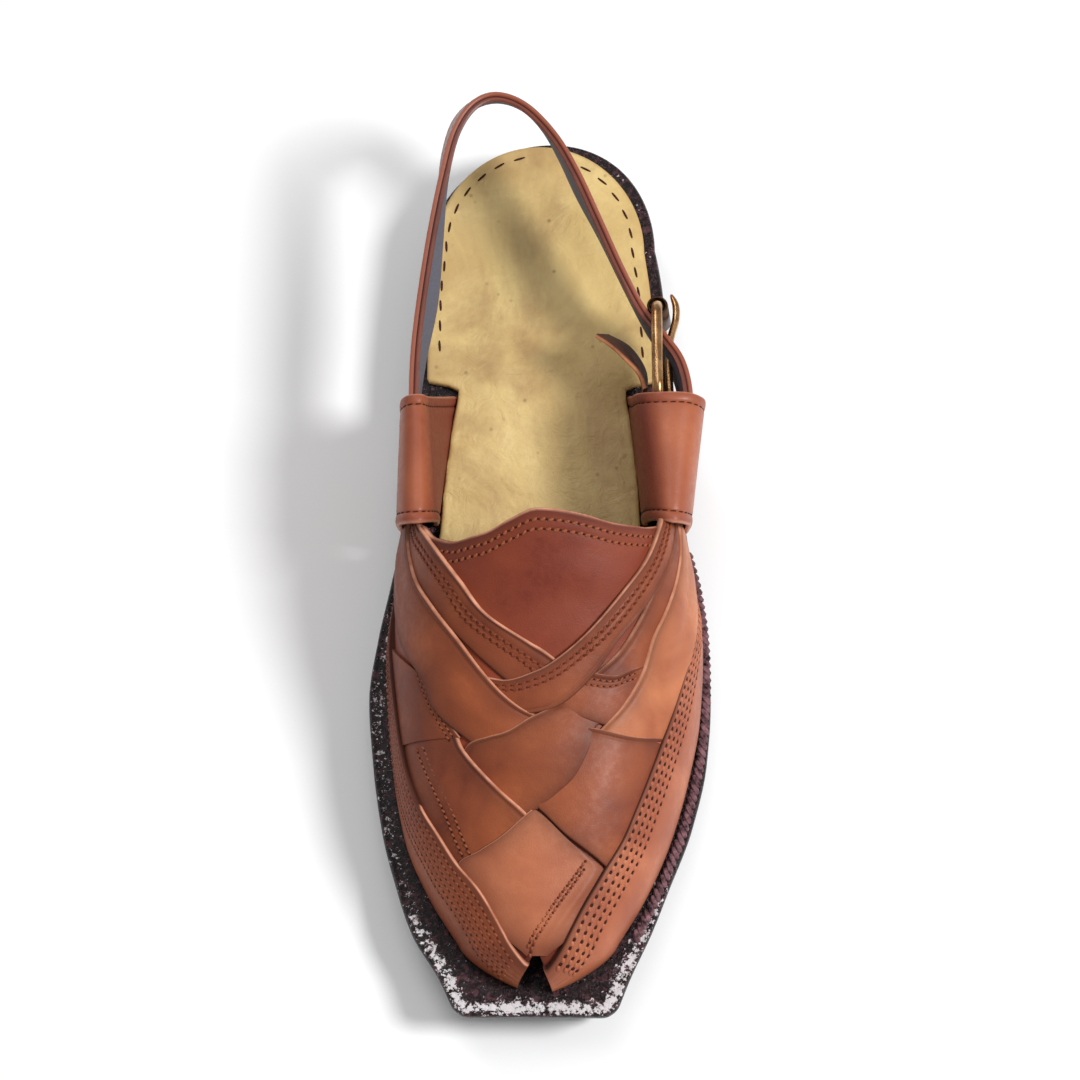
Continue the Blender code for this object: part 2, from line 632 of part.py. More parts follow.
def heel_strap(collection, cutters, finish):
    rungs = through_rows(HEEL_STRAP_PATH, STRAP_SAMPLES)
    upper, lean = rungs[:, :3], rungs[:, 3:]
    run = np.gradient(upper, axis=0) * (1, 1, 0)
    run /= np.linalg.norm(run, axis=1, keepdims=True)
    inwards = np.cross((0, 0, -1), run)
    drop = np.sqrt(STRAP_HEIGHT**2 - lean**2)
    lower = upper + inwards * lean - (0, 0, 1) * drop
    made = band("heel_strap", upper, lower, STRAP_THICKNESS, collection, finish)
    bpy.ops.mesh.primitive_cylinder_add(
        vertices=16,
        radius=PRONG_HOLE_RADIUS * MM,
        depth=14 * MM,
        location=(PRONG_PATH[1][0] * MM, PRONG_HOLE_Y * MM, BUCKLE_Z * MM),
        rotation=(math.pi / 2, 0, 0),
    )
    cut(made, to_collection(bpy.context.object, "prong_hole", cutters))
    return made


def to_collection(made, name, collection):
    for owner in made.users_collection:
        owner.objects.unlink(made)
    collection.objects.link(made)
    made.name = name
    return made


def wire(name, points, radius, cyclic, collection, finish):
    """A round bar along a line of points."""
    curve = bpy.data.curves.new(name, "CURVE")
    curve.dimensions = "3D"
    curve.bevel_depth = radius * MM
    curve.bevel_resolution = 2
    curve.use_fill_caps = not cyclic
    spline = curve.splines.new("POLY")
    spline.points.add(len(points) - 1)
    spline.points.foreach_set("co", np.column_stack([points * MM, np.ones(len(points))]).ravel())
    spline.use_cyclic_u = cyclic
    curve.materials.append(finish)
    made = bpy.data.objects.new(name, curve)
    collection.objects.link(made)
    return made


def buckle_x(z):
    """Where the buckle's leaning plane lies at a height."""
    return BUCKLE_X + BUCKLE_LEAN * (z - BUCKLE_Z) / (BUCKLE_HEIGHT / 2)


def buckle_frame(collection, finish):
    """A rectangle of round bar with round corners, nearly upright along the strap."""
    middle = np.array(((BUCKLE_REAR_Y + HINGE_Y) / 2, BUCKLE_Z))
    reach = np.array(((HINGE_Y - BUCKLE_REAR_Y) / 2, BUCKLE_HEIGHT / 2)) - BUCKLE_CORNER
    turns = np.radians(np.arange(0, 360, 15))
    turns = np.insert(turns, [6, 12, 18, 24], np.radians([90, 180, 270, 360]))
    direction = np.stack([np.cos(turns), np.sin(turns)], axis=1)
    quarter = np.repeat(((1, 1), (-1, 1), (-1, -1), (1, -1)), 7, axis=0)
    outline = middle + quarter * reach + direction * BUCKLE_CORNER
    points = np.column_stack([buckle_x(outline[:, 1]), outline])
    return wire("buckle_frame", points, BAR_RADIUS, True, collection, finish)


def buckle_prong(collection, finish):
    """A pin bent round the hinge bar, run back through the strap and over the rear bar."""
    eye = BAR_RADIUS + GAP + PRONG_RADIUS
    turns = np.radians(np.linspace(-100, 180, 15))
    loop = np.column_stack([BUCKLE_X + eye * np.cos(turns), HINGE_Y + eye * np.sin(turns)])
    plan = np.concatenate([loop, through_rows(PRONG_PATH, 16)])
    points = np.column_stack([plan, np.full(len(plan), BUCKLE_Z)])
    return wire("buckle_prong", points, PRONG_RADIUS, False, collection, finish)


def buckle_chape(collection, cutters, finish):
    """A strip of leather folded round the hinge bar, slotted for the prong's eye."""
    inner = BAR_RADIUS + 1.7 * GAP  # the bar leans, so it takes a little more room
    outer = inner + CHAPE_LEATHER
    turns = np.radians(np.linspace(180, 360, 9))
    loops = []
    for radius, neck, neck_y, front_y in (
        (outer, CHAPE_LEATHER, CHAPE_FRONT_Y - 6, CHAPE_FRONT_Y),
        (inner, 0.3, CHAPE_FRONT_Y - 6.6, CHAPE_FRONT_Y - 6.0),
    ):
        bend = np.column_stack([radius * np.cos(turns), radius * np.sin(turns) + HINGE_Y])
        ends = ((radius, HINGE_Y + 3.5), (neck, neck_y), (neck, front_y))
        mirror = [(-x, y) for x, y in reversed(ends)]
        loops.append(np.concatenate([bend, ends, mirror]))
    rings = []
    for loop, z in ((loops[0], 1), (loops[1], 1), (loops[1], -1), (loops[0], -1)):
        height = np.full(len(loop), BUCKLE_Z + z * CHAPE_HEIGHT / 2)
        rings.append(np.column_stack([loop[:, 0] + buckle_x(height), loop[:, 1], height]))
    count = len(loops[0])
    faces = []
    for ring in range(4):
        for k in range(count):
            after, beside = (k + 1) % count, (ring + 1) % 4
            corners = ((ring, k), (ring, after), (beside, after), (beside, k))
            faces.append(tuple(r * count + c for r, c in corners))
    made = add_mesh("buckle_chape", np.concatenate(rings), faces, collection, finish)
    slot_front = HINGE_Y + BAR_RADIUS + 2 * PRONG_RADIUS + 2 * GAP
    slot_rear = HINGE_Y - outer - 1
    bpy.ops.mesh.primitive_cube_add(
        size=1,
        location=(BUCKLE_X * MM, (slot_front + slot_rear) / 2 * MM, BUCKLE_Z * MM),
        scale=(16 * MM, (slot_front - slot_rear) * MM, CHAPE_SLOT_HEIGHT * MM),
    )
    cut(made, to_collection(bpy.context.object, "prong_slot", cutters))
    return made


def build_sole(collection, rubber, welt_leather, insole_leather):
    stations = sole_stations()

    def outsole_widths(y, column):
        return sole_half_width(y, column) - WELT_OVERHANG

    def insole_widths(y, column):
        width = smooth(INSOLE_WIDTHS, column, np.maximum(y, INSOLE_ROUND_Y))
        heel = np.clip((INSOLE_ROUND_Y - y) / (INSOLE_ROUND_Y - INSOLE_HEEL_Y), 0, 1)
        return width * np.sqrt(1 - heel**2)

    def joint_height(y):
        return welt_top(y) - MIDSOLE_THICKNESS

    plate(
        "outsole",
        outsole_widths,
        stations,
        sole_bottom,
        lambda y: joint_height(y) - GAP,
        collection,
        rubber,
        SIDE_DRAFT,
    )
    heel = stations[stations < HEEL_BREAST_Y - 1]
    heel = np.append(heel, HEEL_BREAST_Y)
    plate(
        "heel",
        lambda y, column: outsole_widths(y, column) - SIDE_DRAFT,
        heel,
        lambda y: np.zeros_like(y),
        lambda y: np.full_like(y, HEEL_HEIGHT - GAP),
        collection,
        rubber,
    )
    plate("midsole", sole_half_width, stations, joint_height, welt_top, collection, welt_leather)
    rear = INSOLE_ROUND_Y + (INSOLE_HEEL_Y - INSOLE_ROUND_Y) * np.sin(np.linspace(0, 1, 9) * math.pi / 2)
    rear[-1] += GAP
    notch = np.array([-61.5, -60.0, -58.5, -11.0, -9.5, -8.0])
    places = np.unique(np.concatenate([rear, np.linspace(-100, 130, 24), notch]).round(2))
    plate(
        "insole",
        insole_widths,
        places,
        lambda y: welt_top(y) + GAP,
        lambda y: welt_top(y) + GAP + INSOLE_THICKNESS,
        collection,
        insole_leather,
    )


def build_upper(collection, strips, leather):
    body = upper_shell(collection, leather)
    for name, rows in (
        ("tongue_side_medial", TONGUE_SIDE_MEDIAL),
        ("cross_strap_lateral", CROSS_STRAP_LATERAL),
        ("broad_strap_medial", BROAD_STRAP_MEDIAL),
        ("broad_strap_lateral", BROAD_STRAP_LATERAL),
        ("inner_strap_lateral", INNER_STRAP_LATERAL),
        ("window_strip", WINDOW_STRIP),
        ("middle_panel", MIDDLE_PANEL),
        ("side_panel_medial", SIDE_PANEL_MEDIAL),
        ("front_panel_medial", FRONT_PANEL_MEDIAL),
        ("toe_panel", TOE_PANEL),
        ("mudguard_medial", MUDGUARD_MEDIAL),
        ("mudguard_lateral", MUDGUARD_LATERAL),
    ):
        strip(name, rows, strips, leather)
    for name, rows in (("wing_medial", WING_MEDIAL), ("wing_lateral", WING_LATERAL)):
        rungs = through_rows(rows, 9)
        band(name, rungs[:, :3], rungs[:, 3:], WING_THICKNESS, strips, leather)
    fuse(body, strips)


def main():
    for old in list(bpy.data.objects):
        bpy.data.objects.remove(old, do_unlink=True)
    parts = new_collection(COLLECTION_NAME)
    strips = new_collection("strips", hidden=True)
    cutters = new_collection("cutters", hidden=True)
    leather = material("leather", (0.376, 0.102, 0.038), 0.42)
    rubber = material("rubber", (0.012, 0.011, 0.011), 0.55)
    welt_leather = material("welt_leather", (0.03, 0.012, 0.015), 0.25)
    insole_leather = material("insole_leather", (0.79, 0.64, 0.26), 0.6)
    brass = material("brass", (0.72, 0.52, 0.19), 0.3, metallic=1.0)
    build_sole(parts, rubber, welt_leather, insole_leather)
    build_upper(parts, strips, leather)
    keeper("keeper_medial", KEEPER_MEDIAL, parts, leather)
    keeper("keeper_lateral", KEEPER_LATERAL, parts, leather)
    heel_strap(parts, cutters, leather)
    guard = through_rows(GUARD_ROWS, 16)
    band("buckle_guard", guard[:, :3], guard[:, 3:], GUARD_THICKNESS, parts, leather)
    buckle_frame(parts, brass)
    buckle_prong(parts, brass)
    buckle_chape(parts, cutters, leather)


main()
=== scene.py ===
import math

import bpy
import numpy as np
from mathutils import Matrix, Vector


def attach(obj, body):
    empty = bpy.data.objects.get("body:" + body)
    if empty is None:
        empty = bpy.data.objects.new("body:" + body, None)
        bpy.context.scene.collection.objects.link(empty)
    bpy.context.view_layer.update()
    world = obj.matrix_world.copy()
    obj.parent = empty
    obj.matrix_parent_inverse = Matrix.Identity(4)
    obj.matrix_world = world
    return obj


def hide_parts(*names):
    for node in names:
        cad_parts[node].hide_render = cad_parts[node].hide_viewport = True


# A left leather chappal, dressed piece by piece over its CAD frame. Tables are in millimetres:
# y runs to the toe, x to the inner (medial) side. Girth is 1 at the medial foot of the upper,
# 0 along its ridge and -1 at its lateral foot.
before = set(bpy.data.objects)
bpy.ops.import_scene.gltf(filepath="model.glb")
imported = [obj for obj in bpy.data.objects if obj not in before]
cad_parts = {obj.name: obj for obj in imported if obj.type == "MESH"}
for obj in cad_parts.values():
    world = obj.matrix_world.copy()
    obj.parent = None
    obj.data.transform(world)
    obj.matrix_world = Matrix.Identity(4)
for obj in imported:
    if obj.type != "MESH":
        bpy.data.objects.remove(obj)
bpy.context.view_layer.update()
mm = 0.001
print("frame loaded")

sole = {
    "heelY": -150.7,
    "toeY": 150.6,
    "stack": 15.5,
    "welt": 5.5,
    "toeSpring": 8.8,
    "springStart": 58.0,
    "heelRise": 9.0,
    "shankFront": 15.0,
    "shankRear": -73.0,
    "heelBreast": -80.0,
    "heelRound": -110.0,
    "heelApexX": -4.0,
    "toeCorner": 4.0,
    "overhang": 0.8,
    "draft": 1.6,
}
gap = 0.3  # left free between two solids that meet
soleWidths = (  # y, medial half width, lateral half width
    (-128, 33.6, 33.2), (-112, 37.2, 38.6), (-92, 39.6, 41.6), (-60, 41.4, 43.6), (-35, 43, 45.6),
    (-8, 45.8, 48.4), (10, 49.3, 52.4), (26, 52.5, 54.6), (46, 55, 55), (67, 53.4, 53.4), (90, 50, 48),
    (109, 45, 40.6), (124, 39.8, 34.6), (138, 31.4, 28), (150.6, 25.6, 23),
)
insoleWidths = (
    (-108, 35.6, 35.2), (-90, 37.2, 37.2), (-60.4, 37.4, 38.2), (-57.6, 27, 28.4), (-46, 28.8, 29.9),
    (-36, 30.1, 31.1), (-25, 31.5, 32.2), (-6, 33.3, 33.5), (-3, 39, 40.5), (12, 43, 45.6),
    (35, 44, 47.2), (55, 43, 45.9), (75, 41, 42), (95, 37, 35.9), (112, 30.4, 29), (124, 22.4, 21.4),
    (130, 15, 14),
)
featherWidths = (  # the foot of the upper
    (-45, 39, 41), (-10, 42.2, 44.4), (12, 46.2, 48.9), (35, 47.4, 50.6), (55, 46.4, 49.3),
    (75, 44.3, 45.3), (95, 40.4, 39.3), (112, 33.2, 31.8), (128, 23.4, 22.3),
)
crownLine = (  # y, height of the crown, ridge x, squareness of the section
    (-45, 92, 2, 2), (-5, 92, 2, 2), (8, 88.5, 2, 2), (20, 80.5, 2, 2.05), (35, 70.5, 2, 2.1),
    (50, 62.5, 2, 2.15), (70, 55.5, 1.5, 2.2), (90, 50, 1, 2.2), (110, 44.5, 0.5, 2.2),
    (128, 39, 0, 2.2), (142, 33, 0, 2.2),
)


def partWay(at, start, end):
    # 0 at the start, 1 at the end, held beyond both
    return np.clip((at - start) / (end - start), 0, 1)


def cubic(t, scale, start, leaving, end, arriving):
    # between two values, with the slope at each in units of the scale
    return (
        (1 + 2 * t) * (1 - t) ** 2 * start
        + t * (1 - t) ** 2 * scale * leaving
        + t**2 * (3 - 2 * t) * end
        + t**2 * (t - 1) * scale * arriving
    )


def smooth(rows, column, at):
    # cubic through a column of a table that never overshoots, at values of its first column
    table = np.asarray(rows, dtype=float)
    places, values = table[:, 0], table[:, column]
    steps = np.diff(places)
    rises = np.diff(values) / steps
    slopes = np.zeros_like(values)
    slopes[0], slopes[-1] = rises[0], rises[-1]
    sameWay = rises[1:] * rises[:-1] > 0
    total = np.where(sameWay, rises[1:] + rises[:-1], 1.0)
    slopes[1:-1] = np.where(sameWay, 2 * rises[1:] * rises[:-1] / total, 0.0)
    held = np.clip(at, places[0], places[-1])
    k = np.clip(np.searchsorted(places, held, side="right") - 1, 0, len(steps) - 1)
    t = (held - places[k]) / steps[k]
    return cubic(t, steps[k], values[k], slopes[k], values[k + 1], slopes[k + 1])


def throughRows(rows, count):
    # Catmull-Rom curve through every column of a table, at even distances
    table = np.asarray(rows, dtype=float)
    padded = np.concatenate((2 * table[:1] - table[1:2], table, 2 * table[-1:] - table[-2:-1]))
    t = np.linspace(0, 1, 16, endpoint=False)[None, :, None]
    before, start, end, after = (padded[k : len(padded) - 3 + k, None] for k in range(4))
    bend = (end - before) * t + (2 * before - 5 * start + 4 * end - after) * t**2
    fine = start + 0.5 * (bend + (3 * start - before - 3 * end + after) * t**3)
    fine = np.concatenate((fine.reshape(-1, table.shape[1]), table[-1:]))
    return resampled(walkedAlong(fine), fine, count)


def walkedAlong(line):
    # distance from the start of a line of points to each of them
    return np.concatenate(([0], np.cumsum(np.linalg.norm(np.diff(line, axis=0), axis=1))))


def along(at, walked, line):
    # the points of a line at given distances
    return np.stack([np.interp(at, walked, column) for column in line.T], axis=1)


def resampled(walked, line, count):
    return along(np.linspace(0, walked[-1], count), walked, line)


def soleBottom(y):
    # flat at the ball, rising as a square to the toe and as a smooth step over the arch
    toe = np.clip((np.asarray(y) - sole["springStart"]) / (sole["toeY"] - sole["springStart"]), 0, 2)
    arch = partWay(np.asarray(y), sole["shankFront"], sole["shankRear"])
    return sole["toeSpring"] * toe**2 + sole["heelRise"] * arch**2 * (3 - 2 * arch)


def weltTop(y):
    # the sole's underside raised by its whole stack
    return soleBottom(y) + sole["stack"]


upper = {
    "toeTip": 142.0,
    "toeRound": 128.0,
    "planPower": 1.35,
    "dropPower": 2.6,
    "ridgeFade": 24.0,
    "wall": 2.0,
    "notchTop": 135.6,
    "notchMouth": 143.0,
}


def featherHalfWidth(y, medial):
    # the table, closed at the toe by a superellipse
    held = np.minimum(y, upper["toeRound"])
    width = np.where(medial, smooth(featherWidths, 1, held), smooth(featherWidths, 2, held))
    t = partWay(y, upper["toeRound"], upper["toeTip"])
    return width * (1 - t ** upper["planPower"]) ** (1 / upper["planPower"])


def onForm(y, girth):
    # a superellipse section from foot to foot over the crown line
    y, girth = np.broadcast_arrays(np.asarray(y, dtype=float), np.asarray(girth, dtype=float))
    width = featherHalfWidth(y, girth >= 0)
    base = weltTop(y) + gap
    t = partWay(y, upper["toeRound"], upper["toeTip"])
    drop = (1 - t ** upper["dropPower"]) ** (1 / upper["dropPower"])
    height = (smooth(crownLine, 1, y) - base) * drop
    ridge = smooth(crownLine, 2, y) * np.clip(width / upper["ridgeFade"], 0, 1)
    power = 2 / smooth(crownLine, 3, y)
    angle = (1 - np.abs(girth)) * math.pi / 2
    reach = np.where(girth >= 0, width - ridge, -width - ridge)
    x = ridge + reach * np.abs(np.cos(angle)) ** power
    return np.stack([x, y, base + height * np.abs(np.sin(angle)) ** power], axis=-1)


def lifted(y, girth, lift):
    # a point of the form moved out along its normal, which comes from points just beside it
    y, girth, lift = np.broadcast_arrays(*(np.asarray(v, dtype=float) for v in (y, girth, lift)))
    held = np.clip(girth, -0.997, 0.997)
    lengthwise = onForm(y + 0.4, held) - onForm(y - 0.4, held)
    crosswise = onForm(y, held - 0.002) - onForm(y, held + 0.002)
    normal = np.cross(crosswise, lengthwise)
    normal[..., 2] = np.where(np.abs(girth) > 0.97, 0.0, normal[..., 2])
    normal /= np.linalg.norm(normal, axis=-1, keepdims=True)
    return onForm(y, girth) - normal * lift[..., None]


def unit(v):
    return v / np.maximum(np.linalg.norm(v, axis=-1, keepdims=True), 1e-9)


def gridNormals(grid):
    # the cross product of a grid's two directions
    return unit(np.cross(np.gradient(grid, axis=0), np.gradient(grid, axis=1)))


def tint(red, green, blue):
    # a screen colour from 0 to 255 as the linear colour that a shader takes
    c = np.array((red, green, blue)) / 255
    c = np.where(c <= 0.04045, c / 12.92, ((c + 0.055) / 1.055) ** 2.4)
    return (*c.tolist(), 1.0)


work = {}  # the node tree, shader and object coordinates of the material in hand


def plug(socket, value):
    # a node's result is linked, and a number or colour is set on the socket itself
    if isinstance(value, bpy.types.NodeSocket):
        work["tree"].links.new(value, socket)
    else:
        socket.default_value = value


def addNode(kind, inputs=None, **settings):
    node = work["tree"].nodes.new(kind)
    for key, value in settings.items():
        setattr(node, key, value)
    for key, value in (inputs or {}).items():
        plug(node.inputs[key], value)
    return node


def newMaterial(name):
    # the node functions below work on the material that was started last
    made = bpy.data.materials.new(name)
    made.use_nodes = True
    work["tree"] = made.node_tree
    work["shader"] = made.node_tree.nodes["Principled BSDF"]
    work["place"] = addNode("ShaderNodeTexCoord").outputs["Object"]
    return made


def shade(inputs):
    for key, value in inputs.items():
        plug(work["shader"].inputs[key], value)


def noise(perMetre, detail=4.0, rough=0.55, distort=0.0, place=None):
    inputs = {"Vector": place or work["place"], "Scale": perMetre, "Detail": detail}
    inputs |= {"Roughness": rough, "Distortion": distort}
    return addNode("ShaderNodeTexNoise", inputs).outputs["Fac"]


def cells(perMetre, feature="DISTANCE_TO_EDGE"):
    inputs = {"Vector": work["place"], "Scale": perMetre}
    return addNode("ShaderNodeTexVoronoi", inputs, feature=feature).outputs["Distance"]


def spread(value, low, high, toLow=0.0, toHigh=1.0):
    inputs = {"Value": value, "From Min": low, "From Max": high, "To Min": toLow, "To Max": toHigh}
    return addNode("ShaderNodeMapRange", inputs).outputs["Result"]


def mixed(share, first, second):
    # a share of the second colour; a colour is a node's result, or red, green and blue on screen
    pair = [tint(*colour) if isinstance(colour, tuple) else colour for colour in (first, second)]
    inputs = {0: share, 6: pair[0], 7: pair[1]}
    return addNode("ShaderNodeMix", inputs, data_type="RGBA").outputs[2]


def times(first, second):
    return addNode("ShaderNodeMath", {0: first, 1: second}, operation="MULTIPLY").outputs[0]


def plus(first, second):
    return addNode("ShaderNodeMath", {0: first, 1: second}, operation="ADD").outputs[0]


def bumped(height, depth, strength=1.0, under=None):
    inputs = {"Height": height, "Distance": depth, "Strength": strength}
    if under is not None:
        inputs["Normal"] = under
    return addNode("ShaderNodeBump", inputs).outputs["Normal"]


def attribute(name):
    return addNode("ShaderNodeAttribute", attribute_name=name).outputs["Fac"]


tanLook = {  # colours on screen, scales per metre, depths in metres
    "light": (156, 82, 46),
    "mid": (134, 64, 37),
    "dark": (108, 48, 28),
    # deep: the colour of the burnish and painted shade
    "deep": (54, 22, 15),
    # edge: the pale cut edge, partly a painted highlight
    "edge": (220, 158, 128),
    "patch": 34.0,
    "fleck": 420.0,
    "fleckShare": 0.35,
    "scuff": 130.0,
    "burnish_and_shade": 0.94,
    "rough": 0.52,
    "burnishRough": 0.3,
    "grain": 1300.0,
    "grainDepth": 0.00006,
    "wrinkle": 160.0,
    "wrinkleDepth": 0.0006,
    "relief": 0.3,
    "gloss": 0.28,
    "coat": 0.06,
    "coatRough": 0.28,
}


def leather(name, look):
    # mottled dye, burnished dark patches that are partly painted shade, a pale cut edge that is partly a
    # painted highlight, and pores and fine wrinkles in relief
    made = newMaterial(name)
    patch = spread(noise(look["patch"], 3.0, 0.5, 0.4), 0.34, 0.66)
    fleck = spread(noise(look["fleck"], 5.0, 0.65), 0.38, 0.62)
    colour = mixed(patch, look["dark"], look["light"])
    colour = mixed(times(fleck, look["fleckShare"]), colour, look["mid"])
    # darkened towards the deep colour by the burnish mask, partly burnished leather and partly painted
    # shade
    colour = mixed(times(attribute("burnish_and_shade"), look["burnish_and_shade"]), colour, look["deep"])
    # noise that breaks up the pale cut edge, which is partly a painted highlight
    broken = spread(noise(look["scuff"], 3.0, 0.6), 0.35, 0.65, 0.35, 0.95)
    colour = mixed(times(attribute("edge"), broken), colour, look["edge"])
    rough = spread(fleck, 0.0, 1.0, look["rough"] - 0.06, look["rough"] + 0.08)
    rough = plus(rough, times(attribute("burnish_and_shade"), look["burnishRough"]))
    pores = spread(cells(look["grain"]), 0.0, 0.25)
    creased = noise(look["wrinkle"], 4.0, 0.6, 1.2)
    relief = bumped(pores, look["grainDepth"], look["relief"])
    relief = bumped(creased, look["wrinkleDepth"], look["relief"] * 0.6, relief)
    shade({"Base Color": colour, "Roughness": rough, "Normal": relief})
    shade({"Specular IOR Level": look["gloss"], "Coat Weight": look["coat"]})
    shade({"Coat Roughness": look["coatRough"]})
    return made


leathers = {  # what each of them changes in the tan look
    "tan_leather": {},
    "vamp_leather": {
        "light": (142, 66, 40), "mid": (126, 54, 33), "dark": (110, 44, 28), "patch": 22.0,
    },
    # a paler copy of the tan: painted highlight on the lateral broad strap
    "pale_tan_highlight_leather": {
        "light": (196, 124, 82), "mid": (176, 102, 66), "dark": (150, 80, 50), "rough": 0.5,
    },
    "keeper_leather": {
        "light": (166, 94, 62), "mid": (150, 80, 52), "dark": (132, 64, 42), "deep": (118, 50, 38),
        "coat": 0.12, "rough": 0.4,
    },
    # a lighter copy of the tan: painted highlight on the toe panel and on the lateral mudguard, on the lit
    # side
    "warm_tan_highlight_leather": {
        "light": (186, 112, 78), "mid": (166, 92, 62), "dark": (140, 70, 46), "rough": 0.46,
    },
    "guard_leather": {
        "light": (150, 76, 46), "mid": (132, 62, 38), "dark": (96, 42, 26), "edge": (220, 150, 104),
    },
}
tan, vampTan, paleHighlightTan, satin, warmHighlightTan, guardLeather = (
    leather(name, tanLook | dyes) for name, dyes in leathers.items()
)
strapLook = {
    "light": (132, 64, 42),
    "dark": (98, 44, 28),
    "slateLight": (112, 116, 134),
    "slateDark": (62, 66, 84),
    "edge": (142, 72, 46),
    "groove": (74, 26, 20),
    "patch": 40.0,
    "weave": 1400.0,
    "grain": 1300.0,
    "wrinkle": 180.0,
    "rough": (0.42, 0.75),
}


def strapLeather(look):
    # tan outside with redder edges; the lining is slate blue with a fine weave, and rougher
    made = newMaterial("strap_leather")
    patch = spread(noise(look["patch"], 4.0, 0.6, 0.5), 0.34, 0.66)
    colour = mixed(patch, look["dark"], look["light"])
    slate = mixed(noise(look["weave"], 3.0, 0.6), look["slateDark"], look["slateLight"])
    colour = mixed(attribute("lining"), colour, slate)
    colour = mixed(attribute("edge"), colour, look["edge"])
    colour = mixed(attribute("burnish_and_shade"), colour, look["groove"])
    rough = spread(attribute("lining"), 0.0, 1.0, *look["rough"])
    relief = bumped(cells(look["grain"]), 0.00006, 0.5)
    relief = bumped(noise(look["wrinkle"], 4.0, 0.6, 1.0), 0.0005, 0.3, relief)
    shade({"Base Color": colour, "Roughness": rough, "Normal": relief})
    return made


footbedLook = {
    "light": (224, 198, 134),
    "dark": (190, 157, 96),
    "fine": (208, 176, 112),
    "stain": (142, 98, 60),
    "pit": (136, 104, 58),
    "edge": (186, 152, 94),
    "patches": 30.0,
    "grain": 500.0,
    "stains": 16.0,
    "pits": 150.0,
    "wrinkles": 120.0,
    "rough": 0.5,
}


def footbedLeather(look):
    # cream leather with pits, soft wrinkles, and stains where the foot rubs
    made = newMaterial("footbed_leather")
    patch = spread(noise(look["patches"], 5.0, 0.6, 0.6), 0.3, 0.7)
    fine = spread(noise(look["grain"], 4.0, 0.6), 0.35, 0.65)
    colour = mixed(patch, look["dark"], look["light"])
    colour = mixed(times(fine, 0.4), colour, look["fine"])
    stain = spread(noise(look["stains"], 5.0, 0.62, 1.0), 0.46, 0.7)
    colour = mixed(times(stain, 0.7), colour, look["stain"])
    pits = spread(cells(look["pits"], "F1"), 0.05, 0.14, 1.0, 0.0)
    pits = times(pits, spread(noise(60.0), 0.45, 0.6))
    colour = mixed(times(pits, 0.7), colour, look["pit"])
    colour = mixed(attribute("edge"), colour, look["edge"])
    wrinkles = noise(look["wrinkles"], 5.0, 0.6, 1.6)
    relief = bumped(pits, 0.0003, -0.6)
    relief = bumped(wrinkles, 0.0012, 0.5, relief)
    relief = bumped(fine, 0.00008, 0.6, relief)
    shade({"Base Color": colour, "Roughness": look["rough"], "Normal": relief})
    return made


weltLook = {
    "light": (30, 13, 16),
    "dark": (9, 7, 9),
    "mottle": (92, 52, 60),
    "glintWhite": (226, 220, 222),
    "patches": 60.0,
    "grain": 620.0,
    "mottles": 480.0,
    "rough": (0.14, 0.34),
    "gloss": 0.25,
    "coat": 0.06,
    "coatRough": 0.2,
}


def weltLeather(look):
    # black-maroon wax over leather; pale specks in its grain, gathered in a band (attribute), are painted
    # glints on the gloss
    made = newMaterial("welt_wax")
    patch = spread(noise(look["patches"], 4.0, 0.6, 0.8), 0.35, 0.65)
    colour = mixed(patch, look["dark"], look["light"])
    grain = noise(look["grain"], 4.0, 0.75)
    mottle = spread(noise(look["mottles"], 4.0, 0.6, 0.6), 0.52, 0.62)
    colour = mixed(times(mottle, 0.6), colour, look["mottle"])
    glint_band = times(attribute("glint_band"), spread(noise(70.0), 0.3, 0.7, 0.16, 0.32))
    # pale specks: painted glints on the glossy wax
    specks = spread(plus(grain, glint_band), 0.66, 0.7)
    colour = mixed(times(specks, 0.9), colour, look["glintWhite"])
    rough = spread(noise(300.0, 4.0, 0.6), 0.35, 0.65, *look["rough"])
    relief = bumped(grain, 0.0009, 1.0)
    relief = bumped(noise(200.0, 3.0, 0.5), 0.0014, 0.8, relief)
    shade({"Base Color": colour, "Roughness": rough, "Normal": relief})
    shade({"Specular IOR Level": look["gloss"], "Coat Weight": look["coat"]})
    shade({"Coat Roughness": look["coatRough"]})
    return made


rubberLook = {"clean": (20, 19, 20), "dusty": (46, 43, 42), "rough": (0.42, 0.62)}


def soleRubber(look):
    # near-black rubber with dust in its grain, and a fine grain in relief
    made = newMaterial("sole_rubber")
    dust = spread(noise(220.0, 6.0, 0.65), 0.45, 0.75)
    colour = mixed(dust, look["clean"], look["dusty"])
    rough = spread(dust, 0.0, 1.0, *look["rough"])
    relief = bumped(noise(1500.0, 4.0, 0.6), 0.0001, 0.6)
    shade({"Base Color": colour, "Roughness": rough, "Normal": relief})
    return made


brassLook = {
    "light": (202, 160, 112),
    "dark": (146, 102, 66),
    "stain": (96, 58, 38),
    "scratches": 3000.0,
    "stretch": (1.0, 0.08, 1.0),
    "rough": (0.18, 0.36),
}


def brassMetal(look):
    # worn brass: brighter where rubbed, with tarnish in patches and fine scratches
    made = newMaterial("worn_brass")
    patch = spread(noise(150.0, 5.0, 0.6, 0.4), 0.35, 0.65)
    colour = mixed(patch, look["dark"], look["light"])
    stain = spread(noise(420.0, 4.0, 0.6), 0.6, 0.72)
    colour = mixed(times(stain, 0.75), colour, look["stain"])
    stretched = addNode("ShaderNodeMapping", {"Vector": work["place"], "Scale": look["stretch"]})
    scratches = noise(look["scratches"], 3.0, 0.7, place=stretched.outputs["Vector"])
    rough = spread(scratches, 0.3, 0.7, *look["rough"])
    relief = bumped(scratches, 0.00003, 0.5)
    shade({"Base Color": colour, "Roughness": rough, "Normal": relief, "Metallic": 1.0})
    return made


